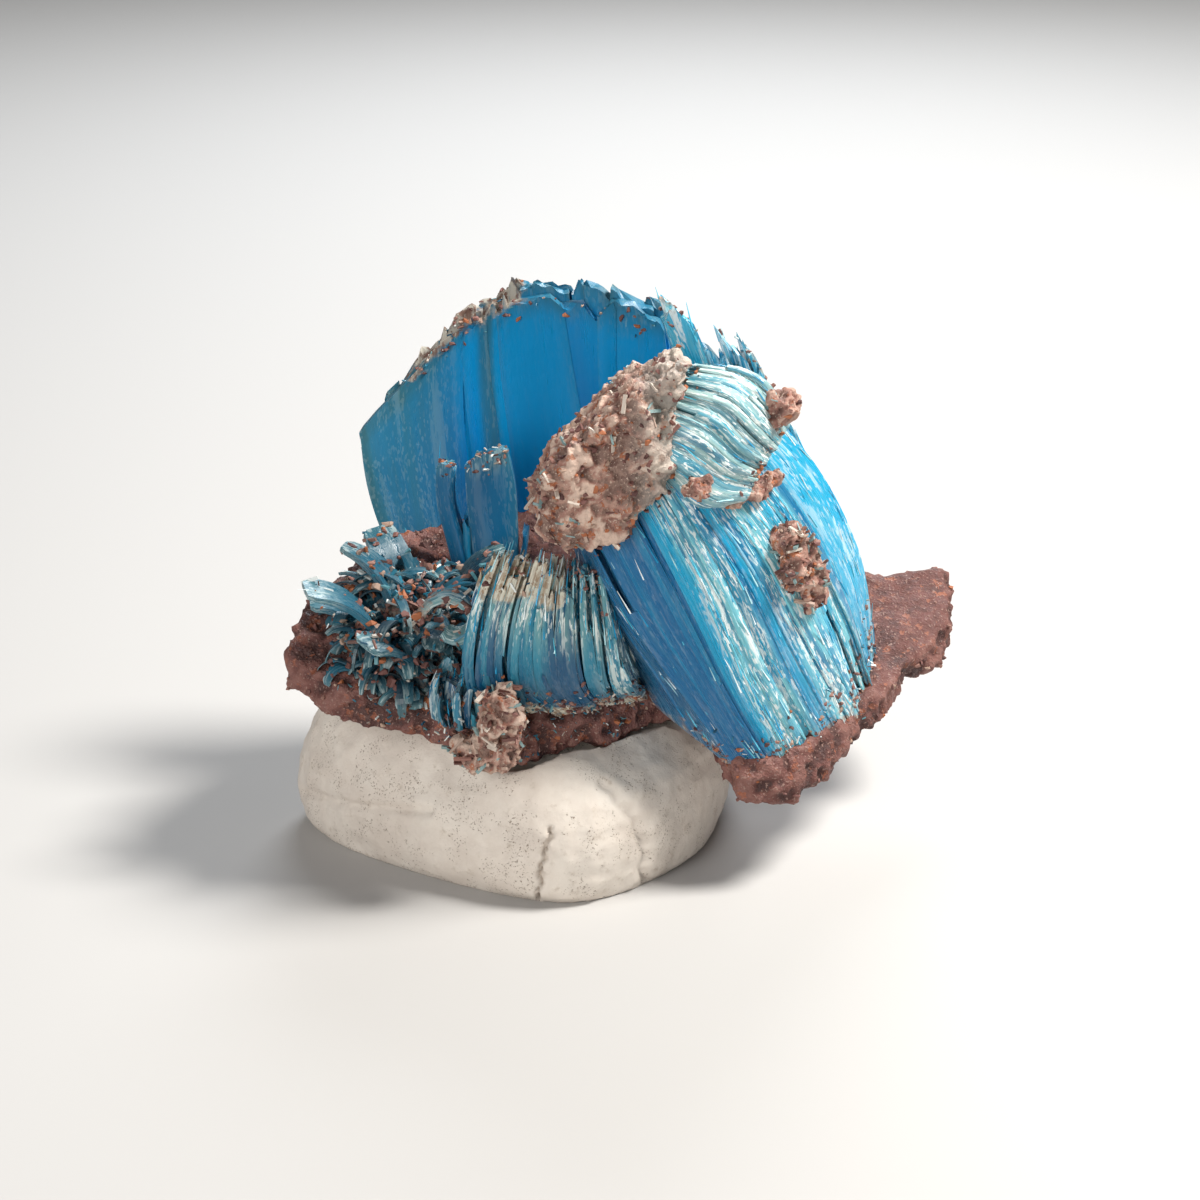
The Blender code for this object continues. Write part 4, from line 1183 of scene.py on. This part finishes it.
def makeCurls():
    dice = random.Random(curlSeed)
    data = {key: [] for key in ("points", "fibre", "direction", "tone", "along", "pale", "faces")}
    for curl in curlPlans + fieldCurls():
        addCurl(curl, dice, data)
    curls = meshObject("curls", data["points"], data["faces"], curlTeal)
    along = np.array(data["along"])
    setPointValues(curls, **{name: data[name] for name in ("fibre", "direction", "tone", "pale")})
    setPointValues(
        curls,
        crust=0.56 * smoothStep(0.75, 0.1, along),
        grit=0.3 + 0.7 * smoothStep(0.5, 0.0, along),
        silk=smoothStep(0.4, 1.0, along),
    )
    slotName = "teal_crystal"
    litter(crumbTree, curls, "curlCrumbs", crumbMaterial, "matrix", 3.0, (0.10, 0.6), 9)
    litter(stickTree, curls, "curlSticks", jumbleMaterial, slotName, 1.8, (0.25, 1.0), 19)
    # splinters whose pale and white tones are partly painted glints
    litter(sliverTree, curls, "curlSplinters", splinterGlintMaterial, slotName, 0.12, (0.4, 1.2), 4, "silk")
    finish(curls, slotName, "curled_crystals")


makeCurls()


# Floor and light

# Each light: its name, its place and size in mm, its power and its colour
stagePlan = {
    "floorSize": 3.0,  # m
    "floorRoughness": 0.8,
    "floor": (0.50, 0.49, 0.48),
    "sky": (0.90, 0.92, 0.94),
    "skyStrength": 0.18,
    "lights": [
        ("keyLight", (125, 0, 180), 60, 0.80, (1.0, 0.97, 0.92)),
        ("fillLight", (-110, -200, 80), 200, 0.38, (1.0, 0.98, 0.95)),
        ("rimLight", (20, 180, 130), 120, 0.30, (0.9, 0.95, 1.0)),
    ],
}


def addLight(name, place, size, power, colour):
    data = bpy.data.lights.new(name, "AREA")
    data.shape = "DISK"
    data.size = size * mm
    data.energy = power
    data.color = colour
    light = link(bpy.data.objects.new(name, data))
    light.location = Vector(place) * mm
    aim = Vector(cameraPlan["target"]) - Vector(place)
    light.rotation_euler = aim.to_track_quat("-Z", "Y").to_euler()


def makeStage():
    bpy.ops.mesh.primitive_plane_add(size=stagePlan["floorSize"], location=(0, 0, 0))
    floor = bpy.context.object
    floor.name = "floor"
    material, tree, shader = newMaterial("paleFloor")
    feed(tree, shader, {"Base Color": (*stagePlan["floor"], 1.0), "Roughness": stagePlan["floorRoughness"]})
    floor.data.materials.append(material)
    world = bpy.data.worlds.new("studio")
    world.use_nodes = True
    sky = {"Color": (*stagePlan["sky"], 1.0), "Strength": stagePlan["skyStrength"]}
    feed(world.node_tree, world.node_tree.nodes["Background"], sky)
    bpy.context.scene.world = world
    for light in stagePlan["lights"]:
        addLight(*light)
    bpy.context.scene.view_settings.view_transform = "Standard"


makeStage()
